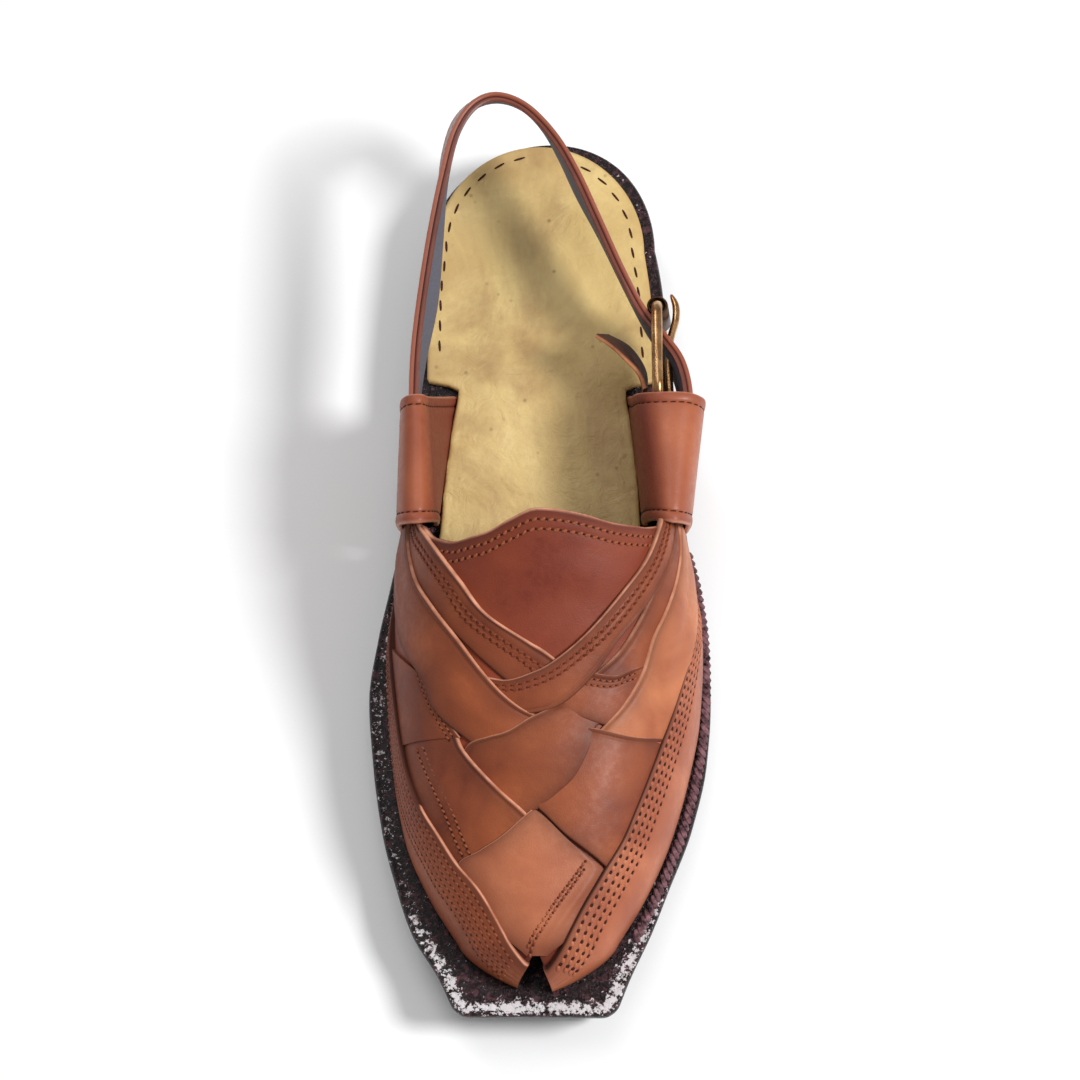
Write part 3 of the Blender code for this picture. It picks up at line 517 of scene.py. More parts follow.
def threadFinish(name, light, dark, perMetre=2500.0):
    # twisted yarn: the same noise mixes its two colours and raises its relief
    made = newMaterial(name)
    twist = noise(perMetre, 3.0, 0.6)
    colour = mixed(spread(twist, 0.3, 0.7), dark, light)
    shade({"Base Color": colour, "Roughness": 0.7, "Specular IOR Level": 0.12})
    shade({"Normal": bumped(twist, 0.00008, 0.7)})
    return made


strapTan = strapLeather(strapLook)
footbed = footbedLeather(footbedLook)
weltWax = weltLeather(weltLook)
rubber = soleRubber(rubberLook)
brass = brassMetal(brassLook)
tanThread = threadFinish("tan_thread", (162, 94, 62), (114, 58, 38))
brownThread = threadFinish("brown_thread", (138, 72, 46), (100, 46, 30))
# soft_needle_holes here and needle_holes below are dark for painted shade inside the holes
softPit = threadFinish("soft_needle_holes", (96, 44, 28), (64, 26, 16))
darkThread = threadFinish("dark_thread", (84, 42, 28), (44, 20, 14))
pitFinish = threadFinish("needle_holes", (72, 30, 20), (44, 16, 10))
cordFinish = threadFinish("welt_cord", (142, 102, 108), (22, 12, 18), 520.0)
# near-black metal for the roller: painted shade at the buckle frame's rear end
darkRoller = threadFinish("dark_shade_roller", (92, 62, 40), (34, 22, 16))
shade({"Metallic": 0.8, "Roughness": 0.35})
print("materials made")


def addMesh(name, points, faces, finish, nodes=(), values=None, uv=None):
    # points in millimetres; the faces are turned outwards by the sign of the volume they enclose
    points = np.asarray(points, dtype=float) * mm
    quads = [f for f in faces if f.shape[1] == 4]
    corners = np.concatenate([q[:, [0, 1, 2]] for q in faces] + [q[:, [0, 2, 3]] for q in quads])
    a, b, c = (points[corners[:, k]] for k in range(3))
    if np.einsum("ij,ij->i", a, np.cross(b, c)).sum() < 0:
        faces = [f[:, ::-1] for f in faces]
    mesh = bpy.data.meshes.new(name)
    mesh.from_pydata(points.tolist(), [], [f for group in faces for f in group.tolist()])
    mesh.shade_smooth()
    mesh.set_sharp_from_angle(angle=math.radians(50))
    for key, value in (values or {}).items():
        layer = mesh.attributes.new(key, "FLOAT", "POINT")
        layer.data.foreach_set("value", np.asarray(value, dtype=np.float32).ravel())
    if uv is not None:
        loops = np.zeros(len(mesh.loops), dtype=np.int32)
        mesh.loops.foreach_get("vertex_index", loops)
        flat = np.asarray(uv, dtype=np.float32).reshape(-1, 2)[loops]
        mesh.uv_layers.new(name="length_and_width").data.foreach_set("uv", flat.ravel())
    mesh.materials.append(finish)
    made = bpy.data.objects.new(name, mesh)
    bpy.context.scene.collection.objects.link(made)
    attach(made, "root")
    if nodes:
        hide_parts(*nodes)
    return made


def tube(name, rings, finish, nodes=(), values=None, cyclic=False):
    # a closed profile carried along a path: rings x columns of points, with its two ends
    # filled by rungs from column k to column last - k
    rows, columns = rings.shape[:2]
    number = np.arange(rows * columns).reshape(rows, columns)
    following = np.roll(number, -1, axis=0) if cyclic else number[1:]
    number = number if cyclic else number[:-1]
    corners = (number, following, np.roll(following, -1, axis=1), np.roll(number, -1, axis=1))
    faces = [np.stack(corners, axis=-1).reshape(-1, 4)]
    if not cyclic:
        k = np.arange(columns // 2 - 1)
        rungs = np.stack([k, k + 1, columns - 2 - k, columns - 1 - k], axis=-1)
        faces += [rungs, rungs[:, ::-1] + (rows - 1) * columns]
    lengths = np.linalg.norm(np.diff(rings, axis=0, append=rings[-1:]), axis=-1).mean(axis=1)
    widths = np.linalg.norm(np.diff(rings, axis=1, append=rings[:, -1:]), axis=-1)
    u = np.broadcast_to(np.cumsum(lengths)[:, None], (rows, columns))
    uv = np.stack([u, np.cumsum(widths, axis=1)], axis=-1) / 100  # one unit is 100 mm
    return addMesh(name, rings.reshape(-1, 3), faces, finish, nodes, values, uv)


profiles = {  # inset from the edge, rise
    "cut": ((0, -0.7), (0.05, -0.4), (0.16, -0.15), (0.36, -0.03), (0.7, 0), (1.3, 0)),
    "lip": ((0, -0.9), (0.1, -0.4), (0.35, 0.02), (0.8, 0.16), (1.4, 0.08), (2, -0.03), (2.6, 0)),
    "rolled": (
        (0, -0.9), (0.08, -0.45), (0.28, -0.05), (0.6, 0.2), (1, 0.2), (1.4, 0), (1.8, -0.2),
        (2.3, -0.06), (3, 0),
    ),
    "mouth": (
        (0, -0.9), (0.1, -0.4), (0.35, -0.03), (0.9, 0.12), (1.8, 0.16), (2.6, 0.08), (3.1, -0.08),
        (3.5, -0.22), (3.9, -0.08), (4.6, 0),
    ),
    "buried": ((0, -0.4), (0.4, -0.05), (0.9, 0)),
}
hideLook = {  # what a piece of leather has unless it says otherwise
    "rows": 110,  # along its length
    "middle": 14,  # columns between its two shaped edges
    "thickness": 2.2,
    "side": 0,  # which way it faces; 0 = away from a line inside the foot
    "bulge": 0.0,
    "tuck": 0.0,  # how far the underside stands in from both edges
    "seamRows": (),  # edge, inset, kind
    "sewnTo": 2.0,  # where along it the rows end
    "groove": 0.16,  # how deep they pull in
    "folds": (),  # s, t, s, t, height, breadth
    "pale": (0.0, 0.0),  # breadth of the pale rim at each edge, partly a painted highlight
    "paleFrom": -1.0,  # where along it the rim starts
    "fade": 2.4,  # how far the burnish and painted shade reach in
    # where along it an inner face starts to take painted shade (none unless set)
    "paintedShadeFrom": lambda s: 0.0,
}
seams = {}
leatherSlot = "upper_leather"


def hide(name, surface, edges, finish, nodes, look):
    # a piece of leather with its own profile along each edge: columns stand at fixed insets from
    # both edges, evenly between; outer face = surface + normal * rise, inner face below it
    look = hideLook | look
    s = np.linspace(0, 1, look["rows"])[:, None]
    walk = surface(s, np.linspace(0, 1, 9)[None, :])
    width = np.linalg.norm(np.diff(walk, axis=1), axis=-1).sum(axis=1)[:, None]
    insets, rises = [], []
    for k, edge in enumerate(edges):
        table = np.array(profiles[edge], dtype=float)
        sewnAt = [inset for end, inset, _ in look["seamRows"] if end == k and inset < 9]
        extra = [i + d for i in sewnAt for d in (-0.7, -0.3, 0.0, 0.3, 0.7)]
        at = np.unique(np.concatenate([table[:, 0], extra]).round(3))
        rise = np.interp(at, table[:, 0], table[:, 1])
        for i in sewnAt:
            rise = rise - look["groove"] * np.exp(-(((at - i) / 0.4) ** 2))
        insets.append(at)
        rises.append(rise)
    squeeze = np.minimum(1, 0.46 * width / max(insets[0][-1], insets[1][-1]))
    tNear = insets[0][None, :] * squeeze / width
    tFar = 1 - insets[1][None, ::-1] * squeeze / width
    share = np.linspace(0, 1, look["middle"] + 2)[None, 1:-1]
    t = np.concatenate([tNear, tNear[:, -1:] + (tFar[:, :1] - tNear[:, -1:]) * share, tFar], axis=1)
    rise = np.concatenate([rises[0], np.zeros(look["middle"]), rises[1][::-1]])[None, :]
    base = surface(np.broadcast_to(s, t.shape), t)
    normal = gridNormals(base)
    side = look["side"] or np.sign((normal * (base - (0, 0, 30)) * (1, 0, 1)).sum())
    normal = normal * side
    crown = look["bulge"] * np.sin(np.clip(t, 0, 1) * math.pi) ** 0.8
    for startS, startT, endS, endT, height, breadth in look["folds"]:
        run = (s - startS) / (endS - startS)
        fade = np.sin(np.clip(run, 0, 1) * math.pi) ** 0.7
        away = (t - startT - (endT - startT) * run) * width
        crown = crown + height * fade * np.exp(-((away / breadth) ** 2))
    top = base + normal * (rise * squeeze + crown)[..., None]
    tuck = np.clip(look["tuck"] / width, 0, 0.2)
    under = surface(np.broadcast_to(s, t.shape), tuck + t * (1 - 2 * tuck))
    bottom = under - normal * look["thickness"]
    inset = np.minimum(t * width, (1 - t) * width)
    # the pale rim: the lighter cut edge, partly a painted highlight on edges that face the light
    reach = np.where(t < 0.5, *look["pale"]) * np.clip((s - look["paleFrom"]) / 0.05, 0, 1)
    edge = np.clip(1.3 - inset / np.maximum(reach, 0.01), 0, 1) * (reach > 0.02)
    # burnish_and_shade: a dark line at each edge and a darkening further in, partly burnished leather and
    # partly painted shade where one piece lies over another
    past = np.maximum(inset - reach, 0)
    rim = np.where(reach > 0.02, 0.5, 1.0) * np.exp(-past / 0.8)
    burnish_and_shade = np.maximum(0.66 * np.exp(-past / look["fade"]), rim) * (1 - edge)
    # painted shade over the part of a keeper that faces the foot
    burnish_and_shade = np.maximum(burnish_and_shade, look["paintedShadeFrom"](s) * (1 - edge))
    values = {
        "edge": np.concatenate([edge, np.zeros_like(edge)], axis=1),
        "burnish_and_shade": np.concatenate([burnish_and_shade, np.ones_like(burnish_and_shade)], axis=1),
    }
    for end, place, kind in look["seamRows"]:
        share = np.clip(place / width[:, 0], 0, 1)
        share = share if end == 0 else 1 - share
        wide = np.flatnonzero((width[:, 0] > place + 1.2) & (s[:, 0] < look["sewnTo"]))
        if len(wide) > 3:
            line, facing = (
                np.array([[np.interp(share[r], t[r], g[r, :, c]) for c in range(3)] for r in wide])
                for g in (top, normal)
            )
            sewn(kind, line, facing)
    rings = np.concatenate([top, bottom[:, ::-1]], axis=1)
    return tube(name, rings, finish, nodes, values)


pitches = {
    "threads": 2.5,
    "fineThreads": 2.0,
    "brownThreads": 2.5,
    "darkThreads": 2.7,
    "punched": 2.9,
    "pricked": 2.3,
    "footbedThreads": 7.4,
    "cord": 2.5,
}


def sewn(kind, line, normal):
    # keeps evenly spaced places along a line on the leather: point, normal, direction
    walked = walkedAlong(line)
    at = np.arange(pitches[kind] / 2, walked[-1], pitches[kind])
    point = along(at, walked, line)
    ahead = unit(along(at + 0.3, walked, line) - point + 1e-9)
    seams.setdefault(kind, []).append((point, unit(along(at, walked, normal)), ahead))


def repeated(name, kind, shape, slant, rise, shift, finish, slot):
    # one small shape set down at every kept place: point + forward * a + across * b + up * c
    corners, shapeFaces = shape
    point, up, ahead = (np.concatenate(parts) for parts in zip(*seams[kind]))
    aside = unit(np.cross(up, ahead))
    turn = math.radians(slant)
    forward = ahead * math.cos(turn) + aside * math.sin(turn)
    across = aside * math.cos(turn) - ahead * math.sin(turn)
    point = point + up * rise + ahead * shift
    placed = (
        point[:, None]
        + forward[:, None] * corners[None, :, :1]
        + across[:, None] * corners[None, :, 1:2]
        + up[:, None] * corners[None, :, 2:3]
    )
    steps = (np.arange(len(point)) * len(corners))[:, None, None]
    faces = [(group[None] + steps).reshape(-1, group.shape[1]) for group in shapeFaces]
    return addMesh(name, placed.reshape(-1, 3), faces, finish)


def bead(length, width, height, rings=4, sides=6):
    # an ellipsoid: x = length cos a, then a ring of radius sin a in width and height
    a = np.linspace(0, math.pi, rings + 2)[1:-1, None]
    b = np.arange(sides)[None] * 2 * math.pi / sides
    x = np.broadcast_to(np.cos(a), (rings, sides)) * length / 2
    girth = np.sin(a) ** 0.7
    ring = np.stack([x, girth * np.cos(b) * width / 2, girth * np.sin(b) * height / 2], axis=-1)
    points = np.concatenate([ring.reshape(-1, 3), [(length / 2, 0, 0), (-length / 2, 0, 0)]])
    number = np.arange(rings * sides).reshape(rings, sides)
    after = np.roll(number, -1, axis=1)
    quads = np.stack([number[:-1], number[1:], after[1:], after[:-1]], axis=-1).reshape(-1, 4)
    first = np.stack([np.full(sides, rings * sides), number[0], after[0]], axis=-1)
    last = np.stack([np.full(sides, rings * sides + 1), after[-1], number[-1]], axis=-1)
    return points, [quads, np.concatenate([first, last])]


throatEdge = (  # girth, y of the rear edge
    (-1, -6), (-0.85, -5), (-0.62, 3), (-0.46, 8.3), (-0.3, 10.3), (-0.16, 9.6), (-0.02, 9.2),
    (0.1, 11.8), (0.22, 14.4), (0.34, 14.7), (0.5, 10.5), (0.62, 3), (0.85, -5), (1, -6),
)
notchMedial = (3.0, 8.4)  # x at the notch's top, x at its mouth
notchLateral = (-0.4, -4.0)
strapRows = {  # each row is a rung: y, girth and height at one edge, then at the other
    "tongue_side": (
        (3, 0.62, 1, 2, 0.72, 1), (10.5, 0.51, 1.1, 15, 0.64, 1), (25, 0.32, 1.2, 27, 0.5, 1),
        (35.5, 0.19, 1.2, 38, 0.36, 1), (44, 0.01, 1.2, 50, 0.18, 1), (48.5, -0.07, 1, 57, 0.06, 0.8),
        (54, -0.15, 0.3, 61, -0.04, 0.3),
    ),
    "cross_strap": (
        (6, -0.55, 1.8, 4, -0.67, 1.8), (17.5, -0.45, 1.9, 17, -0.57, 1.9),
        (28, -0.33, 2, 30, -0.44, 1.9), (40, -0.19, 2.3, 41.5, -0.31, 2),
        (48.5, -0.07, 2.5, 50.5, -0.23, 2.1), (52.5, 0.01, 2.4, 57.5, -0.15, 2.1),
        (54.5, 0.1, 1.9, 62.5, -0.07, 1.8), (53.5, 0.18, 1.2, 64.5, 0.01, 1.1),
        (52, 0.26, 0.4, 65.5, 0.09, 0.3),
    ),
    "broad_strap_medial": (
        (3, 0.7, 1.9, 2, 0.9, 1.7), (19.5, 0.58, 2, 20, 0.8, 1.8), (30.5, 0.45, 2.1, 37, 0.68, 2),
        (41.5, 0.31, 2.3, 49.5, 0.53, 2.2), (53, 0.18, 2.6, 60, 0.45, 2.4),
        (60, 0.09, 2.3, 66, 0.37, 2), (64.5, 0, 1.3, 72, 0.27, 1.1), (67, -0.12, 0.8, 82, 0.12, 0.8),
        (68, -0.24, 1.9, 92.5, -0.01, 1.4), (69, -0.39, 2.4, 100.5, -0.14, 2.1),
        (67.5, -0.56, 1.6, 108, -0.37, 1.6), (66, -0.66, 1, 110, -0.45, 1),
    ),
    "broad_strap_lateral": (
        (4, -0.72, 1.9, 2, -0.95, 1.5), (18, -0.63, 2, 16, -0.93, 1.5),
        (29.5, -0.54, 2.2, 28, -0.92, 1.5), (39.5, -0.46, 2.2, 40, -0.88, 1.5),
        (50.5, -0.41, 2.1, 52, -0.82, 1.5), (60.5, -0.33, 1.9, 62, -0.76, 1.4),
        (68.5, -0.24, 1.6, 70, -0.7, 1), (74, -0.2, 0.5, 76, -0.64, 0.3),
    ),
    "inner_strap_lateral": (
        (6, -0.66, 1.1, 4, -0.8, 1), (12, -0.605, 1.2, 14, -0.71, 1.2),
        (20, -0.525, 1.2, 22, -0.65, 1.2), (32.3, -0.426, 1.2, 36, -0.56, 1.2),
        (44.3, -0.32, 1, 50, -0.47, 1), (51.1, -0.229, 0.8, 60, -0.4, 0.8),
        (55, -0.17, 0.4, 64, -0.36, 0.4),
    ),
    "window_strip": (
        (51, -0.13, 0.9, 62.5, -0.05, 0.9), (52, -0.29, 1.4, 65.5, -0.17, 1.5),
        (49, -0.38, 1.4, 67, -0.27, 1.2), (45, -0.5, 0.5, 67, -0.38, 0.5),
    ),
    "middle_panel": (
        (59, -0.16, 0.4, 65, -0.33, 0.4), (62, -0.06, 1.3, 67, -0.23, 1.3), (64.5, 0, 2, 74, -0.2, 2.1),
        (69, 0.1, 2.3, 82, -0.15, 2.3), (70.5, 0.19, 2, 88, -0.07, 1.9), (72, 0.28, 1.3, 93, 0.01, 1.1),
        (77, 0.35, 0.4, 97, 0.09, 0.4),
    ),
    "side_panel": (
        (34, 0.85, 1.1, 49.5, 0.52, 1.1), (52, 0.82, 1.3, 61, 0.42, 1.3),
        (67.5, 0.74, 1.7, 70, 0.32, 1.6),
    ),
    "front_panel": (
        (63, 0.78, 0.4, 63, 0.34, 0.4), (69, 0.74, 1.1, 70, 0.33, 1.4), (80, 0.7, 1.3, 76, 0.28, 2.1),
        (92, 0.62, 1.3, 86, 0.15, 2.3), (105, 0.48, 1.1, 94, 0.03, 1.6),
        (112, 0.4, 0.4, 100, -0.02, 0.4),
    ),
    "toe_panel": (
        (92.5, 0.02, 1.9, 92.5, 0, 1.6), (99.4, 0.15, 2, 100, -0.12, 1.2),
        (103.6, 0.29, 1.8, 105, -0.24, 1), (107.4, 0.46, 1.4, 110, -0.39, 1),
        (118, 0.42, 1.1, 120, -0.37, 1.1), (127, 0.32, 1.1, 128, -0.27, 1.1),
        (134, 0.13, 1, 134, -0.08, 1),
    ),
    "mudguard_medial": (
        (14, 0.95, 0.7, 14, 0.99, 0.7), (36, 0.83, 2.1, 36, 0.99, 1.4), (55, 0.76, 2.4, 55, 0.99, 1.5),
        (72.5, 0.7, 2.6, 74, 0.99, 1.6), (87, 0.62, 2.6, 92, 0.99, 1.6),
        (97.5, 0.52, 2.6, 107, 0.99, 1.6), (106.5, 0.45, 2.6, 118, 0.99, 1.6),
        (114, 0.36, 2.6, 127, 0.99, 1.6), (125, 0.26, 2.6, 134, 0.99, 1.6),
        (135.5, 0.11, 2.5, 141, 0.99, 1.6),
    ),
    "mudguard_lateral": (
        (10, -0.94, 0.7, 10, -0.99, 0.7), (26, -0.8, 2.1, 26, -0.99, 1.4),
        (40, -0.7, 2.4, 40, -0.99, 1.5), (52, -0.63, 2.6, 54, -0.99, 1.6),
        (67.5, -0.56, 2.6, 72, -0.99, 1.6), (89.5, -0.47, 2.6, 95, -0.99, 1.6),
        (99.5, -0.43, 2.6, 108, -0.99, 1.6), (108, -0.37, 2.6, 119, -0.99, 1.6),
        (118, -0.29, 2.6, 129, -0.99, 1.6), (128, -0.17, 2.6, 137, -0.99, 1.6),
        (136, -0.03, 2.5, 141, -0.99, 1.6),
    ),
}


def notchEdge(girth):
    # bisection for the y where a lengthwise line of the form meets the slanting toe notch
    girth = np.asarray(girth, dtype=float)
    top, mouth = (np.where(girth >= 0, *pair) for pair in zip(notchMedial, notchLateral))
    low = np.full(girth.shape, upper["notchTop"] - 2.0)
    high = np.full(girth.shape, upper["toeTip"] - 0.05)
    for _ in range(40):
        middle = (low + high) / 2
        run = (middle - upper["notchTop"]) / (upper["notchMouth"] - upper["notchTop"])
        beyond = np.abs(onForm(middle, girth)[..., 0]) < np.abs(top + (mouth - top) * run)
        low, high = np.where(beyond, low, middle), np.where(beyond, middle, high)
    return low


def vampSurface(s, t):
    # girth runs -1..1 with s, y from the throat edge to the toe notch with t
    girth = np.sin((2 * s - 1) * math.pi / 2) * 0.35 + (2 * s - 1) * 0.65
    rear = smooth(throatEdge, 1, girth)
    return lifted(rear + (notchEdge(girth) - rear) * t, girth, 0.0)


def rungsAt(rows, count=160):
    # the columns of a table of rungs as functions of s
    rungs = throughRows(rows, count)
    places = np.linspace(0, 1, count)
    return lambda s: [np.interp(s, places, column) for column in rungs.T]


def onRungs(rows, tail=None, tailShare=0.24, toNotch=False):
    # ruled between the two edge lines of a table, on the form; a tail runs on from its near end
    # along a cubic to a line between two points off the form; toNotch ends it at the toe notch
    rungs = rungsAt(rows)

    def body(s, t):
        r = rungs(s)
        y = r[0] * (1 - t) + r[3] * t
        girth = np.clip(r[1] * (1 - t) + r[4] * t, -1, 1)
        if toNotch:
            reach = np.clip((s - 0.86) / 0.14, 0, 1) ** 2
            y = y * (1 - reach) + notchEdge(girth) * reach
        return lifted(y, girth, r[2] * (1 - t) + r[5] * t)

    if tail is None:
        return body
    first, second = (np.array(point, dtype=float) for point in tail)

    def surface(s, t):
        s, t = np.broadcast_arrays(s, t)
        start = body(np.zeros_like(t), t)
        heading = unit(start - body(np.full_like(t, 0.03), t))
        end = first + (second - first) * t[..., None]
        reach = np.linalg.norm(end - start, axis=-1, keepdims=True)
        u = np.clip(1 - s / tailShare, 0, 1)[..., None]
        curve = cubic(u, reach, start, heading, end, np.array((0, -1.0, 0)))
        on = body(np.clip((s - tailShare) / (1 - tailShare), 0, 1), t)
        return np.where((s < tailShare)[..., None], curve, on)

    return surface


def stitchRows(edge, kind, *insets):
    return tuple((edge, inset, kind) for inset in insets)


vampLook = {
    "rows": 100,
    "middle": 64,
    "thickness": upper["wall"],
    "seamRows": stitchRows(0, "threads", 3.2, 5.9),
    "folds": (
        (0.3, 0.1, 0.62, 0.16, 0.35, 5), (0.4, 0.17, 0.72, 0.1, -0.35, 4),
        (0.36, 0.24, 0.58, 0.27, 0.25, 4),
    ),
    "pale": (0.4, 0),
}
hide("vamp", vampSurface, ("lip", "cut"), vampTan, ("upper",), vampLook)
pieces = {
    "side_panel": {
        "edges": ("buried", "cut"),
        "seamRows": stitchRows(1, "fineThreads", 2.2, 4.2),
        "pale": (0, 0.3),
        "fade": 4.0,
    },
    "tongue_side": {
        "edges": ("rolled", "buried"),
        "seamRows": stitchRows(0, "brownThreads", 4.6, 6.9),
        "tail": ((36.2, -18, 55.6), (37.4, -18, 46)),
        "bulge": 0.2,
        "pale": (0.62, 0),
    },
    "inner_strap_lateral": {
        "edges": ("rolled", "buried"),
        "tail": ((-39.6, -18, 57.6), (-41, -18, 44)),
        "bulge": 0.3,
        "pale": (0.5, 0),
    },
    "window_strip": {
        "edges": ("rolled", "cut"),
        "seamRows": stitchRows(0, "fineThreads", 2.4, 4.4),
        "bulge": 0.2,
        "pale": (0.45, 0),
    },
    "broad_strap_lateral": {
        "edges": ("rolled", "cut"),
        "seamRows": stitchRows(1, "threads", 2.6, 5.0),
        "finish": paleHighlightTan,
        "tail": ((-41.4, -18, 57.4), (-44.6, -18, 38)),
        "folds": ((0.25, 0.3, 0.75, 0.42, -0.4, 2.2), (0.3, 0.62, 0.85, 0.55, 0.35, 2.6)),
        "bulge": 0.4,
        "pale": (0.5, 0),
    },
    "cross_strap": {
        "edges": ("cut", "rolled"),
        "seamRows": stitchRows(0, "brownThreads", 3.4, 5.8),
        "tail": ((-37.2, -18, 58), (-38.6, -18, 42)),
        "folds": ((0.3, 0.75, 0.7, 0.7, -0.25, 1.8),),
        "bulge": 0.3,
        "pale": (0.35, 0),
    },
    "front_panel": {
        "edges": ("cut", "rolled"),
        "folds": ((0.2, 0.5, 0.8, 0.55, 0.4, 4),),
        "pale": (0, 0.6),
        "fade": 4.5,
    },
    "broad_strap_medial": {
        "edges": ("rolled", "cut"),
        "tail": ((40, -18, 58.4), (43, -18, 38)),
        "folds": (
            (0.12, 0.35, 0.42, 0.45, -0.35, 2.2), (0.16, 0.62, 0.44, 0.66, 0.4, 2.4),
            (0.62, 0.5, 0.92, 0.45, 0.35, 4),
        ),
        "bulge": 0.35,
        "pale": (0.42, 0),
    },
    "middle_panel": {
        "edges": ("rolled", "cut"),
        "folds": ((0.2, 0.45, 0.85, 0.55, 0.4, 4.5),),
        "bulge": 0.2,
        "pale": (0.5, 0),
        "fade": 4.5,
    },
    "toe_panel": {
        "edges": ("cut", "cut"),
        "finish": warmHighlightTan,
        "middle": 44,
        "folds": ((0.1, 0.5, 0.95, 0.5, 0.5, 6), (0.28, 0.95, 0.98, 0.63, 0.55, 1.5)),
        "pale": (0.35, 0),
        # a wide burnish and painted shade: darker towards the panel's edges and lighter in its middle
        "fade": 7.0,
    },
    "mudguard_medial": {
        "edges": ("cut", "buried"),
        "seamRows": stitchRows(0, "pricked", 2.0, 3.9, 5.9, 7.8, 9.8, 11.9),
        "bulge": 0.3,
        "pale": (0.14, 0),
        "paleFrom": 0.6,
    },
    "mudguard_lateral": {
        "edges": ("cut", "buried"),
        "finish": warmHighlightTan,
        "seamRows": stitchRows(0, "punched", 1.7, 3.9, 6.1, 8.4),
        "bulge": 0.3,
    },
}
for name, look in pieces.items():
    guard = name.startswith("mudguard")
    surface = onRungs(strapRows[name], look.get("tail"), toNotch=guard)
    look = {"tuck": 0.0 if guard else 0.5, "sewnTo": 0.965 if guard else 2.0} | look
    hide(name, surface, look["edges"], look.get("finish", tan), ("upper",), look)

panelSewing = {  # y, girth and height over the form; how far each row is shifted
    "fineThreads": (
        (
            (70, 0.6, 1.3), (77, 0.55, 1.7), (84, 0.5, 1.8), (92, 0.45, 1.7), (100, 0.42, 1.4),
            (105, 0.4, 1.3),
        ),
        ((0, 0, 0), (0, -0.05, 0)),
    ),
    "pricked": (
        ((106, -0.25, 1.25), (113, -0.17, 1.3), (121, -0.06, 1.35), (131, 0.08, 1.3)),
        ((0, 0, 0), (2.4, 0, 0)),
    ),
}
for kind, (rows, shifts) in panelSewing.items():
    for shift in shifts:
        y, girth, lift = throughRows(np.add(rows, shift), 80).T
        line = lifted(y, girth, lift)
        sewn(kind, line, unit(lifted(y, girth, lift + 1) - line))
print("upper made")

keeperRows = {  # front edge x, y, z, then rear edge x, y, z, of the outside of the leather
    "keeper_medial": (
        (44.8, -8, 0, 41.2, -50, 0), (45.4, -5, 31, 44, -45, 37), (45.6, -1, 46, 44.6, -41, 51),
        (44.6, 2.4, 57, 43.8, -39, 60.8), (41, 4, 62.8, 41, -38.6, 65),
        (36, 3.8, 62.8, 37.1, -38.8, 64.8), (32.4, 0.8, 55, 35, -41.4, 57),
        (32.2, -5.6, 37, 31.4, -48.8, 40), (33.4, -12, 0, 27.4, -56, 0),
    ),
    "keeper_lateral": (
        (-47.4, -8, 0, -44, -50, 0), (-48, -5, 31, -49, -45, 36), (-48, -1, 46, -52.2, -41, 50),
        (-46.6, 2.5, 57, -52, -39, 61), (-43.2, 4, 63, -46.2, -38.6, 66.8),
        (-38.2, 3.5, 63, -36.4, -38.6, 67), (-34, 0.5, 55, -30.4, -41, 60),
        (-32.8, -6, 36, -29.4, -48, 42), (-33.8, -12, 0, -28.8, -56, 0),
    ),
}


def ruled(rows):
    # straight across between two edge lines, each a smooth curve through its points
    rungs = rungsAt(rows)

    def surface(s, t):
        r = rungs(s)
        return np.stack([r[k] * (1 - t) + r[k + 3] * t for k in range(3)], axis=-1)

    return surface


for name, rows in keeperRows.items():
    table = np.array(rows, dtype=float)
    for column in (2, 5):  # both feet stand on the welt
        table[[0, -1], column] = weltTop(table[[0, -1], column - 1]) + gap
    look = {
        "rows": 96,
        "thickness": 1.9,
        "side": 1 if name == "keeper_medial" else -1,
        "seamRows": ((0, 3.5, "darkThreads"), (1, 3.5, "darkThreads")),
        "pale": (0.4, 0.4),
        # painted shade on each keeper's inner face, from a little past its ridge
        "paintedShadeFrom": lambda s: np.clip((s - 0.53) / 0.07, 0, 1),
    }
    if name == "keeper_medial":
        look["folds"] = ((0.62, 0.8, 1.04, 0.83, -0.6, 0.9), (0.62, 0.87, 1.04, 0.89, 0.3, 1.3))
    hide(name, ruled(table), ("mouth", "mouth"), satin, (name,), look)

strap = {"height": 19.0, "thickness": 3.2, "rows": 240, "seamInset": 2.6}
heelStrapPath = (  # x, y, z of the upper edge at mid thickness, and how far the lower edge stands in
    (39.8, -23.5, 60, 0), (40, -41, 60.9, -0.4), (39.4, -57.9, 62.9, 0.8), (37.1, -78.4, 65.7, 2.4),
    (34.1, -97.7, 68.5, 0.8), (30.6, -114.8, 71.2, -1.8), (27, -128, 73.2, -4.4),
    (21.4, -136.7, 74.2, -7.6), (14.1, -139.9, 74.2, -9), (5, -136.5, 73.6, -7.4),
    (-4.2, -126.7, 72.6, -3.8), (-11.3, -114.4, 71, -2.2), (-18, -99.4, 68.5, -3.2),
    (-25.6, -82, 65.6, -3.8), (-32.4, -69.6, 62, -3.6), (-38.8, -61, 61.35, -2.4),
    (-44.4, -52.2, 61.5, -0.6), (-46.8, -41.5, 61, 0), (-46.2, -31, 60, 0),
)
strapEdge = (  # across the thickness, up the height, tan edge, dark groove between two layers
    (-1, 0.86, 0, 0), (-1, 0.93, 0.3, 0), (-0.9, 0.98, 0.9, 0), (-0.55, 1, 1, 0),
    (-0.14, 0.99, 0.7, 0.2), (0.02, 0.955, 0, 1), (0.16, 0.985, 0, 0.5), (0.6, 0.995, 0, 0.3),
    (0.92, 0.975, 0, 0.4), (1, 0.91, 0, 0.2), (1, 0.86, 0, 0),
)


